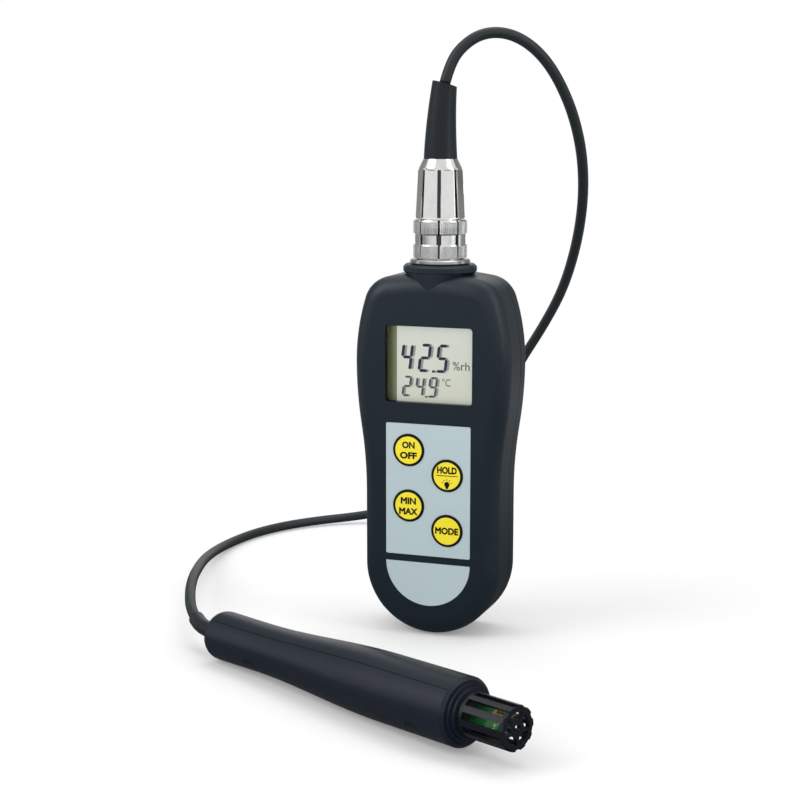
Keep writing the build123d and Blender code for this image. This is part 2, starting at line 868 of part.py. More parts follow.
def handle_radius(x):
    """Outer radius of the handle at x."""
    ring = handle_solid & Plane(origin=(x, 0, 0), z_dir=(1, 0, 0)) * Circle(2 * handle_head_radius)
    return ring.bounding_box().max.Z


handle_screws = []
screw_plugs = []
for x in pinch_places:
    radius = handle_radius(x)
    disc_seat = -radius + plug_disc_depth
    head_seat = disc_seat + handle_screw_head_height
    end = radius - probe_wall
    well = drum(plug_disc_radius + plug_disc_play, -radius - 1, disc_seat, (x, 0))
    head_well = drum(handle_screw_head + plug_disc_play, disc_seat - 1, head_seat, (x, 0))
    bore = drum(handle_screw_radius + fit, head_seat - 1, end, (x, 0))
    handle_front = handle_front - well - head_well - bore
    handle_rear -= bore
    head = drum(handle_screw_head, disc_seat + 0.1, head_seat, (x, 0))
    handle_screws.append(head + drum(handle_screw_radius, head_seat - 0.5, end - 0.5, (x, 0)))
    disc = drum(plug_disc_radius, -radius - 1, disc_seat, (x, 0))
    screw_plugs.append(disc & handle_solid)

# A fine groove runs along the seam of the two handle halves
groove_bar = block(
    (handle_tail_dome, -handle_groove, -2 * handle_head_radius),
    (head_end - handle_front_edge, 0, 2 * handle_head_radius),
)
groove_core = revolve(handle_profile(handle_groove, handle_groove), Axis.X)
handle_front -= groove_bar - groove_core

nose_ring = revolve(make_face(Polyline([
    (head_end - nose_shank_length, guard_shank_radius + guard_shank_play),
    (head_end - nose_shank_length, nose_shank_radius),
    (head_end, nose_shank_radius),
    (head_end, step_one_radius),
    (step_one_end, step_one_radius),
    (step_one_end, step_two_radius),
    (guard_base, step_two_radius),
    (guard_base, guard_shank_radius + guard_shank_play),
], close=True)), Axis.X)

# Sensor guard: a slotted cage with a spoked end disc and a push-fit shank
guard_shank_start = guard_base - guard_shank_length
disc_inside = tip - guard_disc
sensor_guard = revolve(make_face(Polyline([
    (guard_shank_start, guard_shank_bore),
    (guard_shank_start, guard_shank_radius),
    (guard_base, guard_shank_radius),
    (guard_base, guard_radius),
    (tip - 0.3, guard_radius),
    (tip, guard_radius - 0.3),
    (tip, guard_hub_bore),
    (disc_inside, guard_hub_bore),
    (disc_inside, guard_bore),
    (guard_base, guard_bore),
    (guard_base, guard_shank_bore),
], close=True)), Axis.X)
guard_slot_width = 2 * guard_radius * sin(radians(180 / guard_slots)) - guard_rib
slot_floor = guard_radius - guard_rim_notch
side_slot = block(
    (guard_base + guard_collar, -guard_slot_width / 2, guard_bore - 0.6),
    (disc_inside, guard_slot_width / 2, guard_radius + 1),
)
rim_notch = block(
    (disc_inside - 0.5, -guard_slot_width / 2, slot_floor),
    (tip + 1, guard_slot_width / 2, guard_radius + 1),
)
for cut in ring_of(side_slot, guard_slots, Axis.X) + ring_of(rim_notch, guard_slots, Axis.X):
    sensor_guard -= cut
window_ring = bar_along_x(guard_window_radius, disc_inside - 0.5, tip + 1)
window_ring -= bar_along_x(guard_hub_radius, disc_inside - 1, tip + 2)
spoke = block(
    (disc_inside - 1, -guard_spoke / 2, 0), (tip + 2, guard_spoke / 2, guard_window_radius + 1)
)
for bar in ring_of(spoke, guard_windows, Axis.X):
    window_ring -= bar
sensor_guard -= window_ring

sensor_board_end = guard_base + sensor_board_reach
sensor_board_start = sensor_board_end - sensor_board_length


def board_plate(start, end, width, thickness):
    """A board lying in the plane z = 0 along the probe."""
    return block((start, -width / 2, -thickness / 2), (end, width / 2, thickness / 2))


sensor_board = board_plate(
    sensor_board_start, sensor_board_end, sensor_board_width, sensor_board_thickness
)
board_slot = board_plate(
    sensor_board_start - 1, tip, sensor_board_width + 2 * fit, sensor_board_thickness + 2 * fit
)
lead_channel = block(
    (head_end - holder_length - 1, -lead_channel_width / 2, 0),
    (head_end - holder_length + lead_channel_length, lead_channel_width / 2, holder_radius),
)
sensor_holder = bar_along_x(holder_radius, head_end - holder_length, holder_end)
sensor_holder = sensor_holder - board_slot - lead_channel
half_board = sensor_board_thickness / 2
sensor_start = sensor_board_end - sensor_length - 1.0
humidity_sensor = block(
    (sensor_start, -sensor_width / 2 - 1.2, half_board),
    (sensor_start + sensor_length, sensor_width / 2 - 1.2, half_board + sensor_height),
)
bead_place = (sensor_board_end + 0.3, 2.2, half_board + bead_radius)
temperature_bead = Pos(*bead_place) * Sphere(bead_radius)
for side in (-0.6, 0.6):
    leg = Pos(0, 2.2 + side, bead_place[2]) * bar_along_x(
        bead_leg_radius, sensor_start + 0.5, sensor_board_end + 0.3
    )
    temperature_bead += leg
bead_foot = block(
    (sensor_start, 1.3, half_board), (sensor_start + 1.2, 3.1, half_board + bead_radius + 0.3)
)
temperature_bead += bead_foot

probe_board = board_plate(
    probe_board_start, probe_board_end, probe_board_width, probe_board_thickness
)

# Two leads rise from the probe board, pass over the screw boss and drop onto the sensor board
sensor_leads = []
on_probe_board = probe_board_thickness / 2 + lead_radius
on_sensor_board = half_board + lead_radius
for side in (-lead_offset, lead_offset):
    lead_points = [
        (probe_board_end - 3.6, side, on_probe_board),
        (probe_board_end - 1.4, side, on_probe_board),
        (probe_board_end + 0.6, side, lead_height),
        (sensor_board_start + 0.6, side, lead_height),
        (sensor_board_start + 2.2, side, on_sensor_board),
        (sensor_board_start + 3.6, side, on_sensor_board),
    ]
    lead_path = FilletPolyline(*lead_points, radius=lead_bend)
    lead_section = Plane(origin=lead_points[0], z_dir=(1, 0, 0)) * Circle(lead_radius)
    sensor_leads.append(sweep(lead_section, path=lead_path))

# Lay the probe on the floor: it rests on its tail and on the head behind the guard
rest_tilt = degrees(atan(
    (handle_head_radius - handle_tail_radius) / (handle_flare_end - handle_tail_dome)
))
probe_turn = Rot(0, 0, probe_heading) * Rot(0, -rest_tilt, 0) * Rot(probe_roll, 0, 0)
probe_lift = -(probe_turn * handle_solid).bounding_box().min.Z
probe_pose = Pos(tail_place[0], tail_place[1], probe_lift) * probe_turn


# Cord: straight runs joined by tangent arcs. Its last stretch runs in the tail sleeve.
tail_point = tuple(probe_pose.position)
route = [Vector(*point) for point in cord_route] + [Vector(*tail_point)]
corner_radii = []
for before, corner, after in zip(route, route[1:], route[2:]):
    shorter = min((corner - before).length, (after - corner).length)
    turn = (corner - before).get_angle(after - corner)
    corner_radii.append(arc_share * shorter / tan(radians(turn / 2)))
joint_point = (route[-3] + route[-2]) / 2


def round_tube(points, radii, radius):
    """A round tube along straight runs with one tangent arc at each corner."""
    path = FilletPolyline(*points, radius=radii)
    section = Plane(origin=points[0], z_dir=points[1] - points[0]) * Circle(radius)
    return sweep(section, path=path), path.length


cord, cord_length = round_tube(route[:-2] + [joint_point], corner_radii[:-1], cord_diameter / 2)
sleeve_points = [joint_point, route[-2], route[-1]]
tail_sleeve, sleeve_run = round_tube(sleeve_points, corner_radii[-1:], sleeve_radius)
inner_sleeve = bar_along_x(sleeve_radius, 0, probe_wall + 0.1 + grip_thickness)
grip = bar_along_x(grip_radius, probe_wall + 0.1, probe_wall + 0.1 + grip_thickness)
tail_sleeve += probe_pose * (inner_sleeve + grip)

# Write every piece in the part's frame: the origin lies on the floor under the middle of
# the meter and the probe, and the cord with its plug hangs beside it
meter_pieces = {
    "front_shell": front_shell,
    "rear_shell": rear_shell,
    "battery_cover": battery_cover,
    "cover_screw": cover_screw,
    "cover_insert": cover_insert,
    "case_screws": Compound(case_screws),
    "lcd_window": lcd_window,
    "lcd_glass": lcd_glass,
    "lcd_frame": lcd_frame,
    "light_guide": light_guide,
    "elastomer_strips": Compound(elastomer_strips),
    "main_board": main_board,
    "microcontroller": microcontroller,
    "tact_switches": Compound(tact_switches),
    "keypad_panel": keypad_panel,
    "name_plate": name_plate,
    "battery_springs": Compound(battery_springs),
    "battery_plates": Compound(battery_plates),
    "socket_seal": socket_seal,
    "socket_body": socket_body,
    "socket_nut": socket_nut,
    "socket_insert": socket_insert,
    "socket_contacts": Compound(socket_contacts),
    "socket_disc": socket_disc,
    "socket_flex": socket_flex,
}
meter_pieces.update(keys)
for number, cell in enumerate(cells, start=1):
    meter_pieces[f"cell_{number}"] = cell

probe_pieces = {
    "handle_front": handle_front,
    "handle_rear": handle_rear,
    "handle_screws": Compound(handle_screws),
    "screw_plugs": Compound(screw_plugs),
    "nose_ring": nose_ring,
    "sensor_guard": sensor_guard,
    "sensor_holder": sensor_holder,
    "sensor_board": sensor_board,
    "humidity_sensor": humidity_sensor,
    "temperature_bead": temperature_bead,
    "probe_board": probe_board,
    "sensor_leads": Compound(sensor_leads),
}
cord_pieces = {
    "plug_shell": plug_shell,
    "coupling_ring": coupling_ring,
    "plug_insert": plug_insert,
    "plug_pins": Compound(plug_pins),
    "plug_sleeve": plug_sleeve,
    "clamp_cone": clamp_cone,
    "boot": boot,
    "cord": cord,
    "tail_sleeve": tail_sleeve,
}

standing = dict(meter_pieces)
for name, piece in probe_pieces.items():
    standing[name] = probe_pose * piece
extent = Compound(list(standing.values())).bounding_box()
frame_shift = Vector(-(extent.min.X + extent.max.X) / 2, -(extent.min.Y + extent.max.Y) / 2, 0)
for name, piece in {**standing, **cord_pieces}.items():
    export_step(Pos(frame_shift) * piece, f"parts/{name}.step")

print("frame shift", frame_shift, "lowest", round(extent.min.Z, 4))
print("probe lift", round(probe_lift, 4), "tilt", round(rest_tilt, 4), "tail", route[-1])
print("cord length", round(cord_length + sleeve_run, 1), "of it in the sleeve", round(sleeve_run, 1))
print("cord radii", [round(radius, 1) for radius in corner_radii])
cord_volume = cord_length * 3.14159265 * (cord_diameter / 2) ** 2
print("cord volume", round(cord.volume, 1), "section times length", round(cord_volume, 1))
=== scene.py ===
# %% [markdown]
# # Thermo-hygrometer with a plug-in probe
# The meter stands upright, its cord arches over behind it, and the probe lies in front. The packed
# solids already have every size and joint, so this file gives them their finishes and adds what a
# solid model leaves out: knurling, printing, display segments, the soft cord and small details.

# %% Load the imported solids
import json
import math
import bmesh
import bpy
from mathutils import Matrix, Vector


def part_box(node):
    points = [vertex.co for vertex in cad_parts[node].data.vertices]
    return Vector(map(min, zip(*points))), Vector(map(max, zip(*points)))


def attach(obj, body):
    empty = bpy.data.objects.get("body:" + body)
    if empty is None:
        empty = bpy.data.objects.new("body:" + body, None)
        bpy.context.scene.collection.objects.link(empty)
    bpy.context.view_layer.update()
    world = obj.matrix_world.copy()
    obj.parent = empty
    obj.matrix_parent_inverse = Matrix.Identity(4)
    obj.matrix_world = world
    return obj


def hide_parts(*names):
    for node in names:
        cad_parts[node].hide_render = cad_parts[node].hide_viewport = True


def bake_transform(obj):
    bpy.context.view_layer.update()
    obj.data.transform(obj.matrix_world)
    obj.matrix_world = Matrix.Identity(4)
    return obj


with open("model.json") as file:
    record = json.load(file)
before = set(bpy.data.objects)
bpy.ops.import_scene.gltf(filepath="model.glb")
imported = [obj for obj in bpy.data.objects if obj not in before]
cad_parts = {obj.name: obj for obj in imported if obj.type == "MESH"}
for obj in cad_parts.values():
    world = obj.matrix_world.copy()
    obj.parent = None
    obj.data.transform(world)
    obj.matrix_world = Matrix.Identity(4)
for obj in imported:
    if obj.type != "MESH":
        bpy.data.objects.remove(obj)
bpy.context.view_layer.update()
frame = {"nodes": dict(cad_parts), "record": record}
nodes = frame["nodes"]

# %% [markdown]
# ## Measures
# The object was measured in millimetres from a point on the floor under the meter's middle: X to
# the right of the keys, Y to the back, Z up. The scene is in metres about its own centre, so one
# function turns the first into the second, and every place below is written in millimetres.

# %% Millimetres of the meter to metres of the scene
mm = 0.001
meter_shift = Vector((-3.50283, 58.021, 0.0))


def at(x, y, z):
    """A place on the meter in millimetres, as a point of the scene."""
    return (Vector((x, y, z)) + meter_shift) * mm


case_low, case_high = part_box("front_shell")
print("front shell, mm:", [round(v / mm, 1) for v in case_high - case_low])

# %% [markdown]
# ## Camera
# The photograph is taken from the front, a little to the right of the meter and slightly above it,
# with a long lens. A pinhole fitted to ten corners of the front face gives its place. The camera's
# axes are worked out from the two angles, which is surer than turning it by hand.

# %% Camera at the photograph's place
view_turn = math.radians(19.91)
view_drop = math.radians(9.5)
forward = Vector((
    -math.sin(view_turn) * math.cos(view_drop),
    math.cos(view_turn) * math.cos(view_drop),
    -math.sin(view_drop),
))
rightward = Vector((math.cos(view_turn), math.sin(view_turn), 0.0))
upward = rightward.cross(forward)
aim = at(0, 0, 64)
camera_distance, camera_left, camera_rise = 0.6162, 0.0138, 0.0175
eye = aim - forward * camera_distance - rightward * camera_left + upward * camera_rise

camera = bpy.data.objects.new("camera", bpy.data.cameras.new("camera"))
bpy.context.scene.collection.objects.link(camera)
axes = Matrix((rightward, upward, -forward)).transposed().to_4x4()
camera.matrix_world = Matrix.Translation(eye) @ axes
camera.data.sensor_width = 36.0
camera.data.lens = 79.2
camera.data.clip_start = 0.01
bpy.context.scene.camera = camera
bpy.context.scene.view_settings.view_transform = "Standard"
print("camera stands at", [round(v, 3) for v in eye])

# %% [markdown]
# ## Nodes as arithmetic
# A finish is a small network of nodes. Wiring it by hand takes many lines, so three classes keep it
# short. A Wire is one socket that can be added or multiplied like a number. A Tree makes any node
# from its type, its settings and its inputs. A Finish is the tree of one material.

# %% A socket that can be calculated with
class Wire:
    """One output socket. Sums and products of it add Math nodes."""

    def __init__(self, owner, socket):
        self.owner = owner
        self.socket = socket

    def maths(self, operation, first, second=0.0):
        return self.owner.node("ShaderNodeMath", {"operation": operation}, {0: first, 1: second})

    def __add__(self, other):
        return self.maths("ADD", self, other)

    def __mul__(self, other):
        return self.maths("MULTIPLY", self, other)

    def __sub__(self, other):
        return self.maths("SUBTRACT", self, other)

    def __rsub__(self, other):
        return self.maths("SUBTRACT", other, self)

    def __truediv__(self, other):
        return self.maths("DIVIDE", self, other)

    def over(self, low, high):
        """0 below low, 1 above high, and a soft step between."""
        return self.owner.node(
            "ShaderNodeMapRange", {"interpolation_type": "SMOOTHSTEP"},
            {"Value": self, "From Min": low, "From Max": high},
        )


# %% A tree of nodes that is built in short calls
class Tree:
    """Adds nodes to a node tree and links what it is given."""

    def __init__(self, tree):
        self.tree = tree

    def node(self, kind, settings=None, inputs=None, out=0):
        made = self.tree.nodes.new(kind)
        for name, value in (settings or {}).items():
            if name == "stops":
                ramp = made.color_ramp.elements
                while len(ramp) < len(value):
                    ramp.new(0.5)
                for stop, (place, colour) in zip(ramp, value):
                    stop.position = place
                    stop.color = (*colour, 1.0)
            else:
                setattr(made, name, value)
        for name, value in (inputs or {}).items():
            self.plug(made.inputs[name], value)
        return Wire(self, made.outputs[out])

    def plug(self, socket, value):
        if isinstance(value, Wire):
            self.tree.links.new(value.socket, socket)
        else:
            socket.default_value = value


# %% A material with a Principled shader
class Finish(Tree):
    """A named material. Uniform values go on the shader, and patterns are wired to it."""

    def __init__(self, name, colour, roughness, metallic=0.0, **uniform):
        self.material = bpy.data.materials.new(name)
        self.material.use_nodes = True
        super().__init__(self.material.node_tree)
        self.shader = self.tree.nodes["Principled BSDF"]
        self.wire("Base Color", (*colour, 1.0))
        self.wire("Roughness", roughness)
        self.wire("Metallic", metallic)
        for socket, value in uniform.items():
            self.wire(socket.replace("_", " "), value)
        self.normal = None

    def wire(self, socket, value):
        self.plug(self.shader.inputs[socket], value)

    def place(self, stretch=(1, 1, 1), centre=(0, 0, 0)):
        """Object coordinates in millimetres about centre, stretched per axis."""
        raw = self.node("ShaderNodeTexCoord", out="Object")
        moved = self.node("ShaderNodeVectorMath", {"operation": "SUBTRACT"}, {0: raw, 1: centre})
        scale = tuple(s / mm for s in stretch)
        return self.node("ShaderNodeVectorMath", {"operation": "MULTIPLY"}, {0: moved, 1: scale})

    def grain(self, size, detail=2.0, where=None):
        """Soft noise with lumps about size millimetres across."""
        where = where or self.place()
        return self.node(
            "ShaderNodeTexNoise", {},
            {"Vector": where, "Scale": 1.0 / size, "Detail": detail, "Roughness": 0.55},
        )

    def blend(self, factor, first, second):
        """One colour to another by factor."""
        colours = [c if isinstance(c, Wire) else (*c, 1.0) for c in (first, second)]
        return self.node(
            "ShaderNodeMix", {"data_type": "RGBA"}, {0: factor, 6: colours[0], 7: colours[1]}, out=2
        )

    def bump(self, height, depth):
        """Raise the surface by height times depth millimetres, on top of earlier bumps."""
        inputs = {"Height": height, "Distance": depth * mm, "Strength": 1.0}
        if self.normal:
            inputs["Normal"] = self.normal
        self.normal = self.node("ShaderNodeBump", {}, inputs)
        self.wire("Normal", self.normal)


finishes = {}
print("node classes ready")

# %% [markdown]
# ## Floor and studio
# The object stands on plain white card in soft light. A pale floor keeps the shadows that tie it to
# the ground, and further out it turns to pure white for the camera, so that no edge of it shows.
# Mirror rays see white too, but dimmed by painted shade near the object and in front of it, which
# keeps the dark undersides that glossy plastic and plated metal have in the photograph. Two dark
# cards stand at the sides, as a photographer sets them. Mirror rays alone see them.

# %% A flat sheet for floors and cards
def sheet(name, middle, across, along):
    """A rectangle about middle whose half sides are the vectors across and along."""
    mesh = bpy.data.meshes.new(name)
    middle, across, along = Vector(middle), Vector(across), Vector(along)
    corners = [middle + across * i + along * j for i, j in ((-1, -1), (1, -1), (1, 1), (-1, 1))]
    mesh.from_pydata(corners, [], [(0, 1, 2, 3)])
    piece = bpy.data.objects.new(name, mesh)
    bpy.context.scene.collection.objects.link(piece)
    return piece


# %% White card floor
floor_card = Finish("floor_card", (0.93, 0.93, 0.93), 0.9)
grain = floor_card.grain(0.8, 3.0)
floor_card.bump(grain, 0.02)
floor_card.wire("Base Color", floor_card.blend(grain, (0.925, 0.925, 0.925), (0.945, 0.945, 0.945)))
rays = floor_card.tree.nodes.new("ShaderNodeLightPath")
seen = Wire(floor_card, rays.outputs["Is Camera Ray"])
mirrored = Wire(floor_card, rays.outputs["Is Glossy Ray"])
into_depth = Vector((forward.x, forward.y, 0)).normalized()
raw = floor_card.node("ShaderNodeTexCoord", out="Object")
distance = floor_card.node("ShaderNodeVectorMath", {"operation": "LENGTH"}, {0: raw}, out="Value")
in_front = floor_card.node(
    "ShaderNodeVectorMath", {"operation": "DOT_PRODUCT"}, {0: raw, 1: tuple(-into_depth)},
    out="Value",
)
white_share = distance.over(0.12, 0.42) * 0.80 + 0.20
# Painted shade: mirror rays see the floor dimmed near the object and in front of it.
painted_mirror_shade_in_front = in_front.over(-0.10, 0.06) - in_front.over(0.45, 1.30)
painted_mirror_shade_near = 1.0 - distance.over(0.15, 0.75)
painted_mirror_shade = painted_mirror_shade_in_front.maths("MAXIMUM", painted_mirror_shade_in_front, painted_mirror_shade_near)
painted_mirror_shade_strength = 0.9
glow = floor_card.node(
    "ShaderNodeEmission", {},
    {"Color": (1, 1, 1, 1), "Strength": 1.0 - mirrored * painted_mirror_shade * painted_mirror_shade_strength},
)
surface = Wire(floor_card, floor_card.shader.outputs[0])
glow_share = seen * white_share + mirrored
mixed = floor_card.node("ShaderNodeMixShader", {}, {0: glow_share, 1: surface, 2: glow})
floor_card.plug(floor_card.tree.nodes["Material Output"].inputs["Surface"], mixed)

floor = sheet("floor", (0, 0, 0), (4, 0, 0), (0, 4, 0))
floor.data.materials.append(floor_card.material)
print("floor laid at z = 0")

# %% White surroundings
world = bpy.data.worlds.new("studio")
bpy.context.scene.world = world
world.use_nodes = True
sky = Tree(world.node_tree)
path = world.node_tree.nodes.new("ShaderNodeLightPath")
plain_view = [Wire(sky, path.outputs[n]) for n in ("Is Camera Ray", "Is Transmission Ray")]
mirror_view = Wire(sky, path.outputs["Is Glossy Ray"])
diffuse_level, mirror_gain, view_gain = 0.68, 0.20, 0.32
level = (plain_view[0] + plain_view[1]) * view_gain + mirror_view * mirror_gain + diffuse_level
sky.plug(world.node_tree.nodes["Background"].inputs["Strength"], level)
world.node_tree.nodes["Background"].inputs["Color"].default_value = (1.0, 1.0, 1.0, 1.0)
print("world is white, at strength", diffuse_level, "for diffuse light and 1 for the camera")


# %% Soft lamps
def soft_lamp(name, place, aim, size, power):
    """A rectangular area lamp at place that faces aim. size is in metres and power in watts."""
    lamp = bpy.data.lights.new(name, "AREA")
    lamp.shape = "RECTANGLE"
    lamp.size, lamp.size_y = size
    lamp.energy = power
    piece = bpy.data.objects.new(name, lamp)
    piece.location = place
    piece.rotation_euler = (Vector(aim) - Vector(place)).to_track_quat("-Z", "Y").to_euler()
    bpy.context.scene.collection.objects.link(piece)


middle = at(0, 0, 90)
for name, offset, size, power in (
    ("lamp_left", (-0.75, -0.65, 0.75), (0.7, 0.9), 5.6),
    ("lamp_right", (0.95, -0.15, 0.45), (0.35, 1.0), 2.4),
    ("lamp_top", (0.0, 0.25, 1.1), (1.0, 0.7), 3.9),
):
    soft_lamp(name, middle + Vector(offset), middle, size, power)
print("three soft lamps")

# %% Dark cards for the metal to reflect
flag_grey = (0.27, 0.275, 0.26, 1)
flag_paint = Finish("flag_paint", (0.0, 0.0, 0.0), 1.0)
flag_glow = flag_paint.node("ShaderNodeEmission", {}, {"Color": flag_grey, "Strength": 1.0})
flag_paint.plug(flag_paint.tree.nodes["Material Output"].inputs["Surface"], flag_glow)
flag_centre = at(0, 0, 250)
flag_aside, flag_behind, flag_half_height = 0.34, 0.275, 0.25
flag_half_depth, flag_half_splay = 0.175, 0.14
for name, side in (("flag_left", -1), ("flag_right", 1)):
    flag_middle = flag_centre + rightward * flag_aside * side + into_depth * flag_behind
    flag_reach = into_depth * flag_half_depth - rightward * flag_half_splay * side
    flag = sheet(name, flag_middle, flag_reach, (0, 0, flag_half_height))
    flag.data.materials.append(flag_paint.material)
    flag.visible_camera = False
    flag.visible_diffuse = False
    flag.visible_shadow = False
    flag.visible_transmission = False
print("two dark cards")

# %% [markdown]
# ## Cord
# A thin flexible lead leaves the boot upwards, arches over, hangs down behind the meter, and comes
# round on the left to the probe's tail. It is one NURBS line through the same points as the solid
# cord. A tube is swept along it as a mesh.

# %% Route of the cord
cord_points = [
    (1.4, 0.0, 190.2), (3.0, 1.0, 197.0), (6.6, 3.4, 202.9), (12.3, 7.0, 207.1),
    (19.3, 11.4, 207.5), (26.0, 16.0, 204.1), (31.4, 21.2, 197.8), (35.4, 27.0, 189.0),
    (38.2, 34.0, 178.0), (38.8, 43.5, 164.5), (36.6, 54.5, 149.0), (30.8, 68.5, 131.5),
    (21.5, 85.0, 112.8), (9.0, 102.0, 95.8), (-5.5, 118.5, 78.0), (-18.5, 132.5, 57.0),
    (-32.5, 142.0, 35.0), (-50.0, 145.5, 16.5), (-67.5, 143.0, 6.3), (-84.0, 136.5, 3.2),
    (-98.5, 126.5, 2.4), (-109.5, 112.5, 2.2), (-116.0, 96.5, 2.1), (-118.4, 79.5, 2.1),
    (-117.3, 62.5, 2.9), (-113.0, 45.0, 4.7), (-106.5, 27.0, 7.4), (-99.2, 8.6, 10.1),
    (-92.3, -9.3, 11.8), (-85.0, -26.5, 11.6), (-76.5, -42.5, 9.8), (-66.5, -53.8, 8.2),
    (-58.2, -58.2, 8.1496),
]
cord_radius = 1.9 * mm

route = bpy.data.curves.new("cord_route", "CURVE")
route.dimensions = "3D"
spline = route.splines.new("NURBS")
spline.points.add(len(cord_points) - 1)
for point, place in zip(spline.points, cord_points):
    point.co = (*at(*place), 1.0)
spline.order_u = 3
spline.use_endpoint_u = True
spline.resolution_u = 12
route_line = bpy.data.objects.new("cord_route", route)
bpy.context.scene.collection.objects.link(route_line)
line = bpy.data.meshes.new_from_object(route_line)
cord_path = [v.co.copy() for v in line.vertices]
bpy.data.objects.remove(route_line)


# %% Sweep a round tube along a line
def swept_tube(name, path, radius, sides=20):
    """A closed tube along path. Its UV runs along the length in metres and once round."""
    mesh = bmesh.new()
    uv = mesh.loops.layers.uv.new("length")
    before = [path[0], *path[:-1]]
    after = [*path[1:], path[-1]]
    ahead = [(b - a).normalized() for a, b in zip(before, after)]
    side = ahead[0].orthogonal().normalized()
    turns = [2 * math.pi * k / sides for k in range(sides)]
    rings = []
    for point, way in zip(path, ahead):
        side = (side - way * side.dot(way)).normalized()
        across = way.cross(side)
        spokes = [(side * math.cos(t) + across * math.sin(t)) * radius for t in turns]
        rings.append([mesh.verts.new(point + spoke) for spoke in spokes])
    travelled = 0.0
    for i, (low, high) in enumerate(zip(rings, rings[1:])):
        step = (path[i + 1] - path[i]).length
        reached = travelled + step
        for k in range(sides):
            face = mesh.faces.new((low[k], low[(k + 1) % sides], high[(k + 1) % sides], high[k]))
            face.smooth = True
            spots = ((travelled, k), (travelled, k + 1), (reached, k + 1), (reached, k))
            for loop, (length, turn) in zip(face.loops, spots):
                loop[uv].uv = (length, turn / sides)
        travelled = reached
    mesh.faces.new(rings[0][::-1])
    mesh.faces.new(rings[-1])
    return finished(name, mesh)


def finished(name, mesh, finish=None):
    """Turn a bmesh into an object at the origin."""
    data = bpy.data.meshes.new(name)
    mesh.to_mesh(data)
    mesh.free()
    piece = bpy.data.objects.new(name, data)
    bpy.context.scene.collection.objects.link(piece)
    if finish:
        data.materials.append(finishes[finish].material)
    return piece


cord = swept_tube("cord_sheath", cord_path, cord_radius)
print("cord tube:", len(cord.data.polygons), "faces")

# %% The sheath's finish, and the solid cord hidden
sheath = Finish("cord_black", (0.012, 0.015, 0.017), 0.42, Specular_IOR_Level=0.35)
drawn = sheath.grain(0.35, 3.0)
sheath.wire("Roughness", drawn * 0.16 + 0.38)
sheath_tone = sheath.blend(sheath.grain(9.0), (0.012, 0.017, 0.021), (0.018, 0.024, 0.026))
sheath.wire("Base Color", sheath_tone)
sheath.bump(drawn, 0.015)
finishes["cord_black"] = sheath
cord.data.materials.append(sheath.material)

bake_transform(cord)
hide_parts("cord")

# %% [markdown]
# ## Moulded plastics
# The case is black plastic from a spark-eroded mould: a fine even grain, dull, with a broad soft
# highlight. The probe's handle is a slightly bluer, smoother slate grey, and the guard is plain and
# a little glossier. Each is a dark base with grain in the bump and in the roughness. The numbers
# differ, the recipe doesn't, so one function makes them all. The humidity sensor is made with it
# too: its slot says white, but the photograph shows its face green, with pale spots.

# %% One recipe for moulded plastic
def moulded(name, colour, lighter, roughness, grain_size, grain_depth, shine=0.5):
    """A moulded surface: grain in bump and roughness, and a slow change of tone."""
    plastic = Finish(name, colour, roughness, Specular_IOR_Level=shine)
    texture = plastic.grain(grain_size, 2.0)
    plastic.wire("Roughness", texture * 0.18 + (roughness - 0.09))
    plastic.wire("Base Color", plastic.blend(plastic.grain(14.0, 3.0), colour, lighter))
    plastic.bump(texture, grain_depth)
    finishes[name] = plastic
    return plastic


moulded("case_black", (0.005, 0.012, 0.021), (0.008, 0.017, 0.027), 0.40, 0.32, 0.028, shine=0.34)
moulded("handle_black", (0.008, 0.012, 0.021), (0.011, 0.016, 0.026), 0.34, 0.26, 0.014, shine=0.27)
moulded("plug_black", (0.004, 0.006, 0.012), (0.006, 0.009, 0.016), 0.26, 0.30, 0.008, shine=0.30)
moulded("guard_black", (0.004, 0.006, 0.010), (0.007, 0.009, 0.014), 0.28, 0.30, 0.010, shine=0.36)
moulded("inner_black", (0.012, 0.012, 0.012), (0.018, 0.018, 0.018), 0.55, 0.40, 0.020)
moulded("inner_white", (0.62, 0.62, 0.59), (0.70, 0.70, 0.67), 0.45, 0.50, 0.015)
chip = moulded("sensor_white", (0.010, 0.16, 0.035), (0.02, 0.22, 0.05), 0.24, 0.9, 0.008)
spots = chip.grain(1.1, 1.0).over(0.50, 0.62)
chip.wire("Base Color", chip.blend(spots, (0.012, 0.17, 0.04), (0.40, 0.58, 0.16)))
print("moulded finishes:", len(finishes) - 1)

# %% [markdown]
# ## Rubber
# The boot over the cord is soft rubber: deep black, satin, smoother than the case, with a faint
# bloom. The seal and the elastomer strips are the same stuff, duller.

# %% Rubber
rubber_tones = ((0.006, 0.010, 0.014), (0.010, 0.015, 0.020))
for name, roughness in (("rubber_black", 0.36), ("inner_rubber", 0.6)):
    rubber = moulded(name, *rubber_tones, roughness, 0.5, 0.010, shine=0.22)
    rubber.wire("Sheen Weight", 0.05)
    rubber.wire("Sheen Roughness", 0.5)
print("rubber finishes added")

# %% [markdown]
# ## Metals
# The connector is turned brass, nickel and chrome plated. A lathe leaves rings so fine that they
# only widen the reflection, so the bump is noise squeezed along Z. Steel, brass and springs use the
# same idea with their own colours. The floor of a milled slot is painted dark as shade: a vertex
# attribute marks it on the pieces that are turned further down.

# %% Turned and plated metals
def turned_metal(name, colour, tint, roughness, ring_depth):
    """Metal with fine rings about Z and slight stains in its tone."""
    metal = Finish(name, colour, roughness, metallic=1.0)
    rings = metal.grain(1.0, 2.0, metal.place(stretch=(0.4, 0.4, 14.0)))
    stain = metal.grain(5.0, 3.0)
    metal.wire("Base Color", metal.blend(stain.over(0.35, 0.75), colour, tint))
    metal.wire("Roughness", stain * 0.10 + rings * 0.05 + (roughness - 0.07))
    metal.bump(rings, ring_depth)
    finishes[name] = metal
    return metal


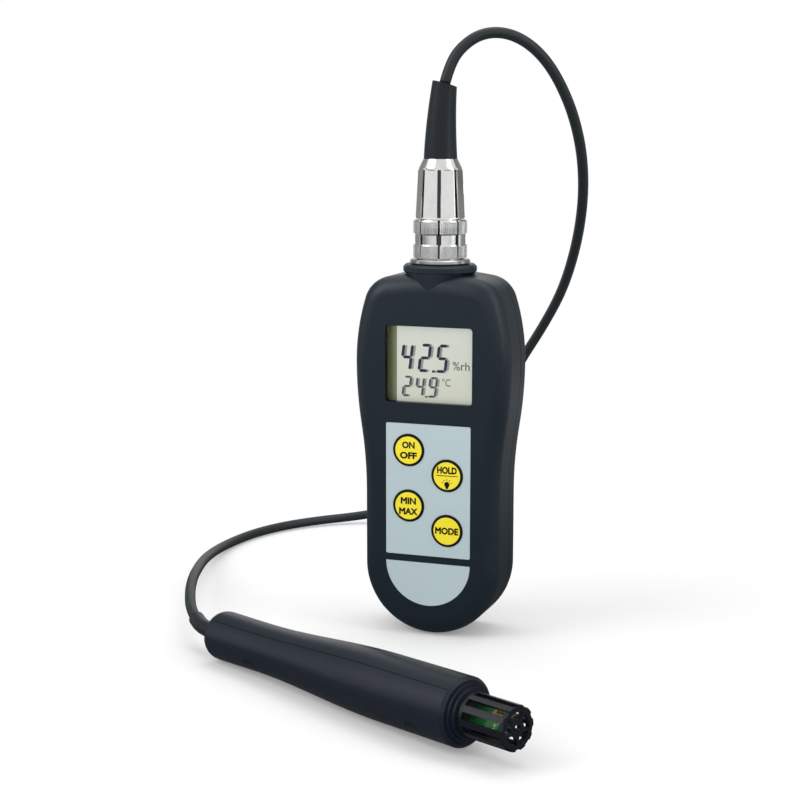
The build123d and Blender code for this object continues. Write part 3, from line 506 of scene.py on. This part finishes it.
turned_metal("chrome", (0.80, 0.79, 0.77), (0.74, 0.73, 0.71), 0.16, 0.0012)
fluted = turned_metal("chrome_fluted", (0.82, 0.83, 0.81), (0.76, 0.77, 0.75), 0.19, 0.0012)
# Painted shade: where a vertex attribute marks a slot's floor, the plating is painted near black.
groove = fluted.node("ShaderNodeAttribute", {"attribute_name": "groove"}, out="Fac")
plated = Wire(fluted, fluted.shader.inputs["Base Color"].links[0].from_socket)
fluted.wire("Base Color", fluted.blend(groove, plated, (0.055, 0.058, 0.062)))
# The knurled grips are darker and rougher than the chrome; the darker colour is painted shade between
# the ridges.
turned_metal("chrome_knurled", (0.66, 0.67, 0.67), (0.60, 0.61, 0.61), 0.24, 0.0012)
turned_metal("nickel", (0.50, 0.505, 0.51), (0.44, 0.445, 0.45), 0.22, 0.0015)
turned_metal("steel", (0.56, 0.56, 0.55), (0.46, 0.46, 0.46), 0.30, 0.002)
turned_metal("brass", (0.83, 0.62, 0.26), (0.72, 0.50, 0.20), 0.24, 0.002)
turned_metal("spring_steel", (0.62, 0.62, 0.63), (0.50, 0.50, 0.51), 0.22, 0.001)
print("metals added")

# %% [markdown]
# ## Printed film, keys and ink
# Keypad and name plate are polyester film printed from behind in a light blue grey, with a fine
# texture on top. The keys are yellow under the same film. Ink is dull black.

# %% Films and ink
moulded("panel_grey", (0.480, 0.590, 0.620), (0.505, 0.620, 0.650), 0.42, 0.18, 0.006)
moulded("key_yellow", (0.960, 0.800, 0.020), (0.980, 0.840, 0.030), 0.38, 0.18, 0.006)
moulded("ink_black", (0.004, 0.004, 0.005), (0.007, 0.007, 0.008), 0.50, 0.18, 0.006, shine=0.15)
print("films added")

# %% [markdown]
# ## Display
# A liquid crystal display is dark segments on a pale, slightly green and warm ground. The faint
# shadow that each segment throws on the layer behind it is painted, as a grey copy moved to the
# right. The ground is a slow gradient, lighter towards the top, and it glows faintly in its own
# colours, which is painted light. Up its left edge runs a painted shadow of the bezel, an olive
# strip. The window over it is clear and barely reflects, so it is mostly transparent, with a thin
# glossy skin that grows towards the edges as Fresnel has it.

# %% Display ground and segments
display_middle, display_height, bezel_shade_middle = 95.6, 28.0, -14.2
ground = Finish("lcd", (0.60, 0.60, 0.53), 0.5)
ground_place = ground.place(centre=tuple(at(0, 0, display_middle)))
ground_height = ground.node("ShaderNodeSeparateXYZ", {}, {0: ground_place}, out="Z")
tone = ground.node("ShaderNodeValToRGB", {"stops": [
    (0.0, (0.90, 0.90, 0.81)), (0.55, (0.94, 0.95, 0.88)), (1.0, (0.96, 0.98, 0.95)),
]}, {0: ground_height / display_height + 0.5})
ground.wire("Base Color", ground.blend(ground.grain(0.25) * 0.25, tone, (0.80, 0.81, 0.75)))
# Painted light: the ground glows faintly in its own tone, which brightens it against the shade of its
# deep window.
ground.wire("Emission Color", tone)
ground.wire("Emission Strength", 0.32)
ground.wire("Roughness", ground.grain(0.3) * 0.2 + 0.4)
finishes["lcd"] = ground
moulded("segment_dark", (0.040, 0.052, 0.150), (0.055, 0.068, 0.180), 0.5, 0.2, 0.002)
moulded("segment_shadow", (0.62, 0.65, 0.66), (0.66, 0.69, 0.70), 0.5, 0.2, 0.002)
moulded("segment_pale", (0.150, 0.195, 0.270), (0.180, 0.225, 0.300), 0.5, 0.2, 0.002)
# Painted shade: the bezel's shadow on the display, an olive strip that is darkest at its left edge
# and lighter to the right.
bezel_shade = moulded("display_olive", (0.25, 0.28, 0.15), (0.28, 0.31, 0.18), 0.5, 0.4, 0.004)
bezel_shade_place = bezel_shade.place(centre=tuple(at(bezel_shade_middle, 0, 0)))
bezel_shade_fade = bezel_shade.node("ShaderNodeSeparateXYZ", {}, {0: bezel_shade_place}, out="X").over(-1.0, 2.0)
bezel_shade.wire("Base Color", bezel_shade.blend(bezel_shade_fade, (0.24, 0.27, 0.13), (0.52, 0.55, 0.40)))
print("display finishes added")

# %% Clear window
clear = Finish("window_clear", (0.9, 0.92, 0.9), 0.04)
clear.wire("Roughness", clear.grain(2.0) * 0.04 + 0.02)
skin = clear.node("ShaderNodeFresnel", {}, {"IOR": 1.45})
through = clear.node("ShaderNodeBsdfTransparent", {}, {"Color": (0.97, 0.98, 0.96, 1)})
clear.wire("Base Color", (0.02, 0.02, 0.02, 1))
gloss = Wire(clear, clear.shader.outputs[0])
pane = clear.node("ShaderNodeMixShader", {}, {0: skin * 0.8, 1: through, 2: gloss})
clear.plug(clear.tree.nodes["Material Output"].inputs["Surface"], pane)
finishes["window_clear"] = clear
print("window finish added")

# %% [markdown]
# ## Circuit boards, cells and sensors
# A board is green solder mask over copper tracks, which show through as slightly lighter raised
# lines. A brick pattern gives tracks that turn at right angles. Cells have a printed jacket, and the
# thermistor is a bead of amber resin.

# %% Board green
board = Finish("board_green", (0.010, 0.115, 0.035), 0.3, Coat_Weight=0.5, Coat_Roughness=0.12)
tracks = board.node(
    "ShaderNodeTexBrick", {"offset": 0.37, "squash": 1.7},
    {
        "Vector": board.place(), "Scale": 0.8, "Mortar Size": 0.045, "Mortar Smooth": 0.2,
        "Bias": 0.0,
    },
    out="Fac",
)
board.wire("Base Color", board.blend(tracks, (0.004, 0.085, 0.022), (0.016, 0.170, 0.045)))
board.wire("Roughness", board.grain(1.2) * 0.2 + 0.22)
board.bump(tracks, 0.03)
finishes["board_green"] = board

moulded("flex_amber", (0.50, 0.20, 0.03), (0.58, 0.25, 0.05), 0.35, 0.8, 0.004)
moulded("bead_amber", (0.22, 0.12, 0.035), (0.34, 0.20, 0.07), 0.2, 0.6, 0.010)

# %% Cell jackets
jacket = Finish("cell_jacket", (0.02, 0.02, 0.022), 0.28, metallic=0.2)
jacket_height = jacket.node("ShaderNodeSeparateXYZ", {}, {0: jacket.place()}, out="Z")
band_foot, band_blur = 52.0, 0.2
band = jacket_height.over(band_foot, band_foot + band_blur)
jacket.wire("Base Color", jacket.blend(band, (0.022, 0.022, 0.025), (0.62, 0.36, 0.08)))
jacket.wire("Roughness", jacket.grain(1.5) * 0.15 + 0.2)
finishes["cell_jacket"] = jacket
print("finishes:", sorted(finishes))

# %% Give each solid its finish
slot_of = {part["node"]: part["material_slot"] for part in frame["record"]["subparts"]}
own_finish = {"socket_body": "nickel", "screw_plugs": "plug_black"}
for name, piece in nodes.items():
    material = finishes[own_finish.get(name, slot_of[name])].material
    piece.data.materials.clear()
    piece.data.materials.append(material)
print("solids finished:", len(nodes))

# %% [markdown]
# ## Turned pieces
# Rings and sleeves are turned about an axis, so a helper spins an outline of radius and height
# into a closed shell. A radius may depend on the angle, which lets the same helper cut slots and
# flats, the way a milling cutter does after the lathe.

# %% Spin an outline about the connector's axis
groove_depth = 0.45


def close_shell(mesh, grid):
    """Faces between each column of points and the next one, all the way round."""
    for here, there in zip(grid, grid[1:] + grid[:1]):
        for row in range(len(here)):
            up = (row + 1) % len(here)
            mesh.faces.new((here[row], there[row], there[up], here[up]))
    bmesh.ops.recalc_face_normals(mesh, faces=mesh.faces)


def spun(name, outline, columns, finish, reach):
    """A closed ring through (radius, height) points.

    reach(radius, height, angle) gives the radius after milling. Points that it moves in by more
    than groove_depth are marked as a slot's floor, which gets painted shade.
    """
    mesh = bmesh.new()
    groove = mesh.verts.layers.float.new("groove")
    grid = []
    for column in range(columns):
        angle = 2 * math.pi * column / columns
        line = []
        for radius, height in outline:
            milled = reach(radius, height, angle)
            corner = mesh.verts.new(at(milled * math.cos(angle), milled * math.sin(angle), height))
            corner[groove] = 1.0 if radius - milled > groove_depth else 0.0
            line.append(corner)
        grid.append(line)
    close_shell(mesh, grid)
    return finished(name, mesh, finish)


def smooth_by_angle(piece, degrees):
    """Smooth shading, with edges sharper than degrees left crisp."""
    mesh = piece.data
    mesh.shade_smooth()
    mesh.set_sharp_from_angle(angle=math.radians(degrees))


# %% [markdown]
# ## Coupling ring
# The ring has two knurled grips with a plain band between them, and eight slots that run through
# all three, wider in the band. The knurling is straight ridges in a circle, so Geometry Nodes place
# one small prism on each point of a mesh circle. Every thirteenth point lies in a slot and gets
# none. The number of ridges, their size and their height are named inputs.

# %% The ring's turned core
slot_turn = math.radians(15.4)
slot_count = 8
slot_wall = 0.12
ring_slot_foot, ring_slot_top, ring_slot_depth = 131.5, 144.4, 0.6
band_low, band_high = 136.28, 139.52
band_slot_width, grip_slot_width = 1.5, 0.8
ring_bore_limit = 8.3


def slot_depth_at(angle, width, radius):
    """How far into a slot an angle is: 1 in the middle of a slot, 0 outside it."""
    step = 2 * math.pi / slot_count
    away = abs((angle - slot_turn + step / 2) % step - step / 2) * radius
    return max(0.0, min(1.0, (width / 2 - away) / slot_wall + 0.5))


def ring_reach(radius, height, angle):
    """The ring's radius with its slots cut."""
    if radius > ring_bore_limit and ring_slot_foot < height < ring_slot_top:
        width = band_slot_width if band_low < height < band_high else grip_slot_width
        return radius - ring_slot_depth * slot_depth_at(angle, width, radius)
    return radius


ring_outline = [
    (8.0, 131.4), (8.7, 131.4), (8.98, 131.7), (8.98, 135.8), (8.75, 136.25),
    (8.75, 136.3), (8.75, 139.5), (8.75, 139.55), (8.98, 140.0), (8.98, 144.0),
    (8.9, 144.3), (8.65, 144.6), (7.05, 144.6), (7.05, 142.7), (8.0, 142.7),
]
ring_core = spun("ring_core", ring_outline, 720, "chrome_fluted", ring_reach)
smooth_by_angle(ring_core, 28)
print("ring core:", len(ring_core.data.polygons), "faces")


# %% A Geometry Nodes recipe is a tree with named inputs
class Recipe(Tree):
    """A Geometry Nodes tree. Its named inputs are numbers with a default."""

    def __init__(self, name, **numbers):
        super().__init__(bpy.data.node_groups.new(name, "GeometryNodeTree"))
        shape = self.tree.interface
        for label, value in numbers.items():
            kind = "NodeSocketInt" if isinstance(value, int) else "NodeSocketFloat"
            shape.new_socket(label, in_out="INPUT", socket_type=kind).default_value = value
        shape.new_socket("Material", in_out="INPUT", socket_type="NodeSocketMaterial")
        shape.new_socket("Geometry", in_out="OUTPUT", socket_type="NodeSocketGeometry")
        entry = self.tree.nodes.new("NodeGroupInput")
        self.given = {socket.name: Wire(self, socket) for socket in entry.outputs if socket.name}
        self.numbers = numbers

    def end(self, shape):
        """Realize the copies, give them the material and close the tree."""
        real = self.node("GeometryNodeRealizeInstances", {}, {0: shape})
        material = self.given["Material"]
        dressed = self.node("GeometryNodeSetMaterial", {}, {0: real, "Material": material})
        exit_node = self.tree.nodes.new("NodeGroupOutput")
        self.plug(exit_node.inputs[0], dressed)

    def make(self, name, finish, **numbers):
        """Run the tree with its own numbers and return a plain mesh object."""
        holder = bpy.data.objects.new(name, bpy.data.meshes.new(name))
        bpy.context.scene.collection.objects.link(holder)
        modifier = holder.modifiers.new("recipe", "NODES")
        modifier.node_group = self.tree
        for item in self.tree.interface.items_tree:
            if item.in_out == "INPUT" and item.name in self.numbers:
                modifier[item.identifier] = numbers.get(item.name, self.numbers[item.name])
            if item.in_out == "INPUT" and item.name == "Material":
                modifier[item.identifier] = finishes[finish].material
        solved = holder.evaluated_get(bpy.context.evaluated_depsgraph_get())
        mesh = bpy.data.meshes.new_from_object(solved)
        bpy.data.objects.remove(holder)
        piece = bpy.data.objects.new(name, mesh)
        bpy.context.scene.collection.objects.link(piece)
        return piece


# %% Straight knurling
knurl = Recipe("straight_knurl", Count=104, Sector=13, Radius=0.0, Ridge=0.0, Length=0.0)
circle = knurl.node(
    "GeometryNodeMeshCircle", {},
    {"Vertices": knurl.given["Count"], "Radius": knurl.given["Radius"]},
)
prism = knurl.node("GeometryNodeMeshCylinder", {"fill_type": "NGON"}, {
    "Vertices": 6, "Side Segments": 1,
    "Radius": knurl.given["Ridge"], "Depth": knurl.given["Length"],
})
place_on_circle = knurl.node("GeometryNodeInputPosition")
outward = knurl.node(
    "FunctionNodeAlignRotationToVector", {"axis": "X"}, {"Vector": place_on_circle}
)
place_number = knurl.node("GeometryNodeInputIndex")
kept = place_number.maths("MODULO", place_number, knurl.given["Sector"])
knurl.end(knurl.node(
    "GeometryNodeInstanceOnPoints", {},
    {"Points": circle, "Selection": kept, "Instance": prism, "Rotation": outward},
))

ridge_circle, ridge_size = 8.95 * mm, 0.25 * mm
slots_in_line = Matrix.Rotation(slot_turn, 4, "Z")
for label, foot, top in (("lower", 131.75, 135.85), ("upper", 139.95, 144.05)):
    sizes = {"Radius": ridge_circle, "Ridge": ridge_size, "Length": (top - foot) * mm}
    grip = knurl.make("knurl_" + label, "chrome_knurled", **sizes)
    grip.data.transform(Matrix.Translation(at(0, 0, (foot + top) / 2)) @ slots_in_line)
    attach(grip, "coupling_ring")
    print("knurl", label, len(grip.data.polygons), "faces")

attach(ring_core, "coupling_ring")
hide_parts("coupling_ring")

# %% [markdown]
# ## Plug sleeve
# Above the ring the sleeve tapers slightly. Eight narrow slots run up it, with a broad flat between
# each two, and its top edge steps in to a plain polished cone. A flat mirrors one part of the room
# as a whole, which is what makes the bright panels beside each slot.

# %% Sleeve with flats and slots
sleeve_low, sleeve_top = 144.9, 161.5
sleeve_low_radius, sleeve_top_radius = 8.45, 7.6
sleeve_edge = 0.15
sleeve_bore_limit = 7.0
flat_share, flats_from = 0.957, 145.3
sleeve_slot_width, sleeve_slot_depth, sleeve_slots_from = 1.05, 0.75, 145.4


def sleeve_reach(radius, height, angle):
    """The sleeve's radius with its flats and slots cut."""
    if radius < sleeve_bore_limit:
        return radius
    step = 2 * math.pi / slot_count
    from_flat = (angle - slot_turn) % step - step / 2
    flat = radius * flat_share / math.cos(from_flat)
    shaped = min(radius, flat) if height > flats_from else radius
    if height > sleeve_slots_from:
        shaped -= sleeve_slot_depth * slot_depth_at(angle, sleeve_slot_width, radius)
    return shaped


def taper(height):
    """The sleeve's outer radius before milling."""
    share = (height - sleeve_low) / (sleeve_top - sleeve_low)
    return sleeve_low_radius - (sleeve_low_radius - sleeve_top_radius) * share


rows = [145.1, 145.29, 145.31, 145.39, 145.41, 149.0, 153.0, 157.0, 161.3]
sleeve_outline = [(6.1, sleeve_low), (taper(sleeve_low) - sleeve_edge, sleeve_low)]
sleeve_outline += [(taper(h), h) for h in rows]
sleeve_outline += [(taper(sleeve_top) - sleeve_edge, sleeve_top), (5.3, sleeve_top)]
sleeve_outline += [(5.3, 152.2), (6.1, 152.2)]
sleeve = spun("sleeve_fluted", sleeve_outline, 720, "chrome_fluted", sleeve_reach)
smooth_by_angle(sleeve, 20)
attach(sleeve, "plug")
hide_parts("plug_sleeve")
print("sleeve:", len(sleeve.data.polygons), "faces")

# %% [markdown]
# ## Collar gusset
# The round collar is wider than the top fillet leaves room for, so the mould carries it down to the
# front face as a hollow-sided oblique cone. Its front line is upright, just inside the face, and its
# point lies above the window. Each height has its own circle, and all of them touch that line.

# %% Oblique cone under the collar
gusset_point, gusset_top, gusset_radius = 118.6, 127.4, 12.6
face_plane = -12.48
hollow = 0.6
gusset_steps = 12
gusset_columns = 96
gusset_mesh = bmesh.new()
gusset_rings = []
turns = [2 * math.pi * k / gusset_columns for k in range(gusset_columns)]
for step in range(1, gusset_steps + 1):
    share = step / gusset_steps
    radius = gusset_radius * share ** hollow
    height = gusset_point + (gusset_top - gusset_point) * share
    circle_points = [
        at(radius * math.cos(t), face_plane + radius + radius * math.sin(t), height) for t in turns
    ]
    gusset_rings.append([gusset_mesh.verts.new(point) for point in circle_points])
tip = gusset_mesh.verts.new(at(0, face_plane, gusset_point))
for k in range(gusset_columns):
    after = (k + 1) % gusset_columns
    gusset_mesh.faces.new((tip, gusset_rings[0][after], gusset_rings[0][k]))
    for low, high in zip(gusset_rings, gusset_rings[1:]):
        gusset_mesh.faces.new((low[k], low[after], high[after], high[k]))
gusset_mesh.faces.new(gusset_rings[-1])
bmesh.ops.recalc_face_normals(gusset_mesh, faces=gusset_mesh.faces)
gusset = finished("collar_gusset", gusset_mesh, "case_black")
smooth_by_angle(gusset, 40)
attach(gusset, "meter")
print("gusset:", len(gusset.data.polygons), "faces")

# %% [markdown]
# ## Flat printed shapes
# Segments, key rings and lettering are ink a few hundredths of a millimetre thick. Each is drawn as
# outlines in X and Z, given that thickness towards the viewer, and laid on the face it is printed
# on. One helper does this for polygons and another for words.

# %% Polygons laid on an upright face
ink_thickness = 0.03


def printed(name, outlines, face, finish, body, thickness=ink_thickness):
    """Thin upright shapes whose outlines are (x, z) points. face is the Y they lie on."""
    mesh = bmesh.new()
    for outline in outlines:
        back = [mesh.verts.new(at(x, face, z)) for x, z in outline]
        front = [mesh.verts.new(at(x, face - thickness, z)) for x, z in outline]
        count = len(outline)
        mesh.faces.new(front)
        mesh.faces.new(back[::-1])
        for i in range(count):
            mesh.faces.new((back[i], back[(i + 1) % count], front[(i + 1) % count], front[i]))
    bmesh.ops.recalc_face_normals(mesh, faces=mesh.faces)
    piece = finished(name, mesh, finish)
    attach(piece, body)
    return piece


def embolden(mesh, weight):
    """Move each outline point outwards by weight, so that a letter's strokes get thicker.

    A point at a corner goes further, so that both its walls move by weight, within a limit.
    """
    soup = bmesh.new()
    soup.from_mesh(mesh)
    bmesh.ops.remove_doubles(soup, verts=soup.verts, dist=1e-5)
    bmesh.ops.recalc_face_normals(soup, faces=soup.faces)
    soup.normal_update()
    sharpest = 0.6
    moves = {}
    for vertex in soup.verts:
        walls = [face.normal for face in vertex.link_faces if abs(face.normal.z) < 0.5]
        if walls:
            away = sum(walls, Vector()).normalized()
            moves[vertex] = away * weight / max(sharpest, away.dot(walls[0]))
    for vertex, move in moves.items():
        vertex.co += move
    soup.to_mesh(mesh)
    soup.free()


def words(name, text, centre, size, face, finish, body, weight=0.0):
    """Lettering fitted to size (width, height of the capitals) about centre (x, z)."""
    curve = bpy.data.curves.new(name, "FONT")
    curve.body = text
    curve.extrude = 0.5
    curve.resolution_u = 4
    holder = bpy.data.objects.new(name, curve)
    bpy.context.scene.collection.objects.link(holder)
    mesh = bpy.data.meshes.new_from_object(holder)
    bpy.data.objects.remove(holder)
    embolden(mesh, weight)
    xs = [v.co.x for v in mesh.vertices]
    ys = [v.co.y for v in mesh.vertices]
    scale = (size[0] / (max(xs) - min(xs)), size[1] / (max(ys) - min(ys)))
    middle = ((max(xs) + min(xs)) / 2, (max(ys) + min(ys)) / 2)
    for vertex in mesh.vertices:
        x, y, z = vertex.co
        placed_x = centre[0] + (x - middle[0]) * scale[0]
        placed_z = centre[1] + (y - middle[1]) * scale[1]
        vertex.co = at(placed_x, face - ink_thickness if z > 0 else face, placed_z)
    mesh.materials.append(finishes[finish].material)
    piece = bpy.data.objects.new(name, mesh)
    bpy.context.scene.collection.objects.link(piece)
    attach(piece, body)


# %% [markdown]
# ## Display segments
# Each digit has seven bars with pointed ends, all leaning by the same slant. The bars that a digit
# lights come from a table, as in the display's own driver.

# %% Seven-segment digits
lit = {"2": "abged", "4": "fgbc", "5": "afgcd", "9": "abcdfg"}
display_slant = 0.125
display_face = -9.2
bar_gap = 0.12


def bar(start, end, width):
    """A bar with pointed ends between two points."""
    (x0, z0), (x1, z1) = start, end
    length = math.hypot(x1 - x0, z1 - z0)
    ux, uz = (x1 - x0) / length, (z1 - z0) / length
    h = width / 2
    body = [(0, 0), (h, h), (length - h, h), (length, 0), (length - h, -h), (h, -h)]
    return [(x0 + ux * a - uz * b, z0 + uz * a + ux * b) for a, b in body]


def digit(symbol, left, foot, width, height, stroke):
    """Outlines of one digit whose lower left corner is at (left, foot)."""
    h = stroke / 2
    low, mid, high = h, height / 2, height - h
    near, far = h, width - h
    ends = {
        "a": ((near, high), (far, high)), "b": ((far, high), (far, mid)),
        "c": ((far, mid), (far, low)), "d": ((near, low), (far, low)),
        "e": ((near, mid), (near, low)), "f": ((near, high), (near, mid)),
        "g": ((near, mid), (far, mid)),
    }
    outlines = []
    for name in lit[symbol]:
        (x0, z0), (x1, z1) = ends[name]
        dx, dz = (x1 > x0) * bar_gap, (z1 < z0) * bar_gap
        shape = bar((x0 + dx, z0 - dz), (x1 - dx, z1 + dz), stroke)
        outlines.append([(left + x + display_slant * z, foot + z) for x, z in shape])
    return outlines


def square(x, z, size):
    return [(x, z), (x + size, z), (x + size, z + size), (x, z + size)]


humidity = {
    "digits": (("4", -11.55), ("2", -5.05), ("5", 1.25)), "foot": 92.75,
    "width": 4.15, "height": 9.85, "stroke": 1.02, "point": (0.35, 92.7, 0.85),
}
temperature = {
    "digits": (("2", -10.85), ("4", -6.15), ("9", -1.45)), "foot": 84.0,
    "width": 3.1, "height": 7.2, "stroke": 0.74, "point": (-2.2, 83.9, 0.65),
}


def reading(row, shift=0.0):
    """Outlines of a row's point and digits, moved by shift to the right."""
    x, z, size = row["point"]
    outlines = [square(x + shift, z, size)]
    for symbol, left in row["digits"]:
        outlines += digit(
            symbol, left + shift, row["foot"], row["width"], row["height"], row["stroke"]
        )
    return outlines


# Painted shadows: grey copies of both rows, moved to the right.
shadows = reading(humidity, 0.8) + reading(temperature, 0.7)
for name, outlines, finish, thickness in (
    ("display_shadow", shadows, "segment_shadow", 0.01),
    ("display_digits", reading(humidity), "segment_dark", 0.04),
    ("display_low_digits", reading(temperature), "segment_pale", 0.04),
):
    segments = printed(name, outlines, display_face, finish, "meter", thickness)
    print(name, len(segments.data.polygons), "faces")
for name, text, centre, size in (
    ("display_humidity", "%rh", (10.8, 95.4), (6.0, 2.95)),
    ("display_celsius", "°C", (5.5, 89.5), (3.0, 2.7)),
):
    words(name, text, centre, size, display_face, "segment_pale", "meter", 0.004)
# The bezel's painted shadow, a strip up the display's left edge.
bezel_shade_outline = [(-16.2, 81.5), (-12.45, 81.5), (-12.45, 110.0), (-16.2, 110.0)]
printed("display_bezel_shade", [bezel_shade_outline], display_face, "display_olive", "meter", 0.02)

# %% [markdown]
# ## Keys
# Each key is a yellow disc with a black rim and a plain legend. The rim wraps the key's bevelled
# edge, so it is a turned shell round the key's own axis. The legends are generic words and a small
# lamp sign for the backlight.

# %% Black rims
key_places = {
    "key_on_off": (-7.0, 65.8), "key_hold": (7.0, 57.7),
    "key_min_max": (-7.0, 46.2), "key_mode": (7.0, 38.3),
}
key_face = -12.7
rim_front = key_face - ink_thickness
rim_columns = 96
rim_outline = [
    (4.80, key_face), (4.80, rim_front), (5.37, rim_front), (5.62, key_face + 0.22),
    (5.62, key_face + 0.5), (5.6, key_face + 0.5), (5.6, key_face + 0.25), (5.35, key_face),
]


def rim(name, place, body):
    """A thin black shell over the edge of the key at place (x, z), turned about the key's axis."""
    mesh = bmesh.new()
    grid = []
    for column in range(rim_columns):
        angle = 2 * math.pi * column / rim_columns
        grid.append([
            mesh.verts.new(at(place[0] + r * math.cos(angle), y, place[1] + r * math.sin(angle)))
            for r, y in rim_outline
        ])
    close_shell(mesh, grid)
    piece = finished(name, mesh, "ink_black")
    smooth_by_angle(piece, 30)
    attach(piece, body)


for name, place in key_places.items():
    rim("rim_" + name, place, name)
print("rims:", len(key_places))

# %% Legends
legend_weight = 0.044
for key, text, rise, size in (
    ("key_on_off", "ON", 1.8, (4.6, 2.4)),
    ("key_on_off", "OFF", -1.85, (6.2, 2.4)),
    ("key_hold", "HOLD", 1.95, (7.1, 2.5)),
    ("key_min_max", "MIN", 1.75, (5.6, 2.4)),
    ("key_min_max", "MAX", -1.95, (6.8, 2.4)),
    ("key_mode", "MODE", 0.0, (8.4, 2.45)),
):
    x, z = key_places[key]
    name = "legend_" + text.lower()
    words(name, text, (x, z + rise), size, key_face, "ink_black", key, legend_weight)

# %% Sign for the backlight: a line, a bulb with its cap, and five rays
x, z = key_places["key_hold"]
bulb_middle = z - 3.0
bulb_radius, ray_start, ray_end, ray_width = 0.95, 1.35, 1.95, 0.24


def about_bulb(degrees, radius):
    """The point that far from the bulb's middle, at an angle up from the right."""
    t = math.radians(degrees)
    return x + radius * math.cos(t), bulb_middle + radius * math.sin(t)


bulb = [about_bulb(degrees, bulb_radius) for degrees in range(-50, 231, 14)]
bulb += [(x - 0.42, z - 4.25), (x - 0.25, z - 4.6), (x + 0.25, z - 4.6), (x + 0.42, z - 4.25)]
dividing_line = [(x - 3.9, z - 0.12), (x + 3.9, z - 0.12), (x + 3.9, z + 0.14), (x - 3.9, z + 0.14)]
signs = [bulb, dividing_line]
for degrees in (20, 55, 90, 125, 160):
    signs.append(bar(about_bulb(degrees, ray_start), about_bulb(degrees, ray_end), ray_width))
printed("legend_backlight", signs, key_face, "ink_black", "key_hold")
print("legends printed")

# %% [markdown]
# ## Shading of the solids
# The imported solids come as long triangles, whose shading would run across the flat faces. Weighting
# each normal by the size of its faces keeps the large ones flat.

# %% Smooth the solids
solid_sharpness, large_face_weight = 30, 80
for piece in nodes.values():
    if not piece.hide_render:
        smooth_by_angle(piece, solid_sharpness)
        weighted = piece.modifiers.new("large faces lead", "WEIGHTED_NORMAL")
        weighted.keep_sharp = True
        weighted.weight = large_face_weight
print("solids smoothed")
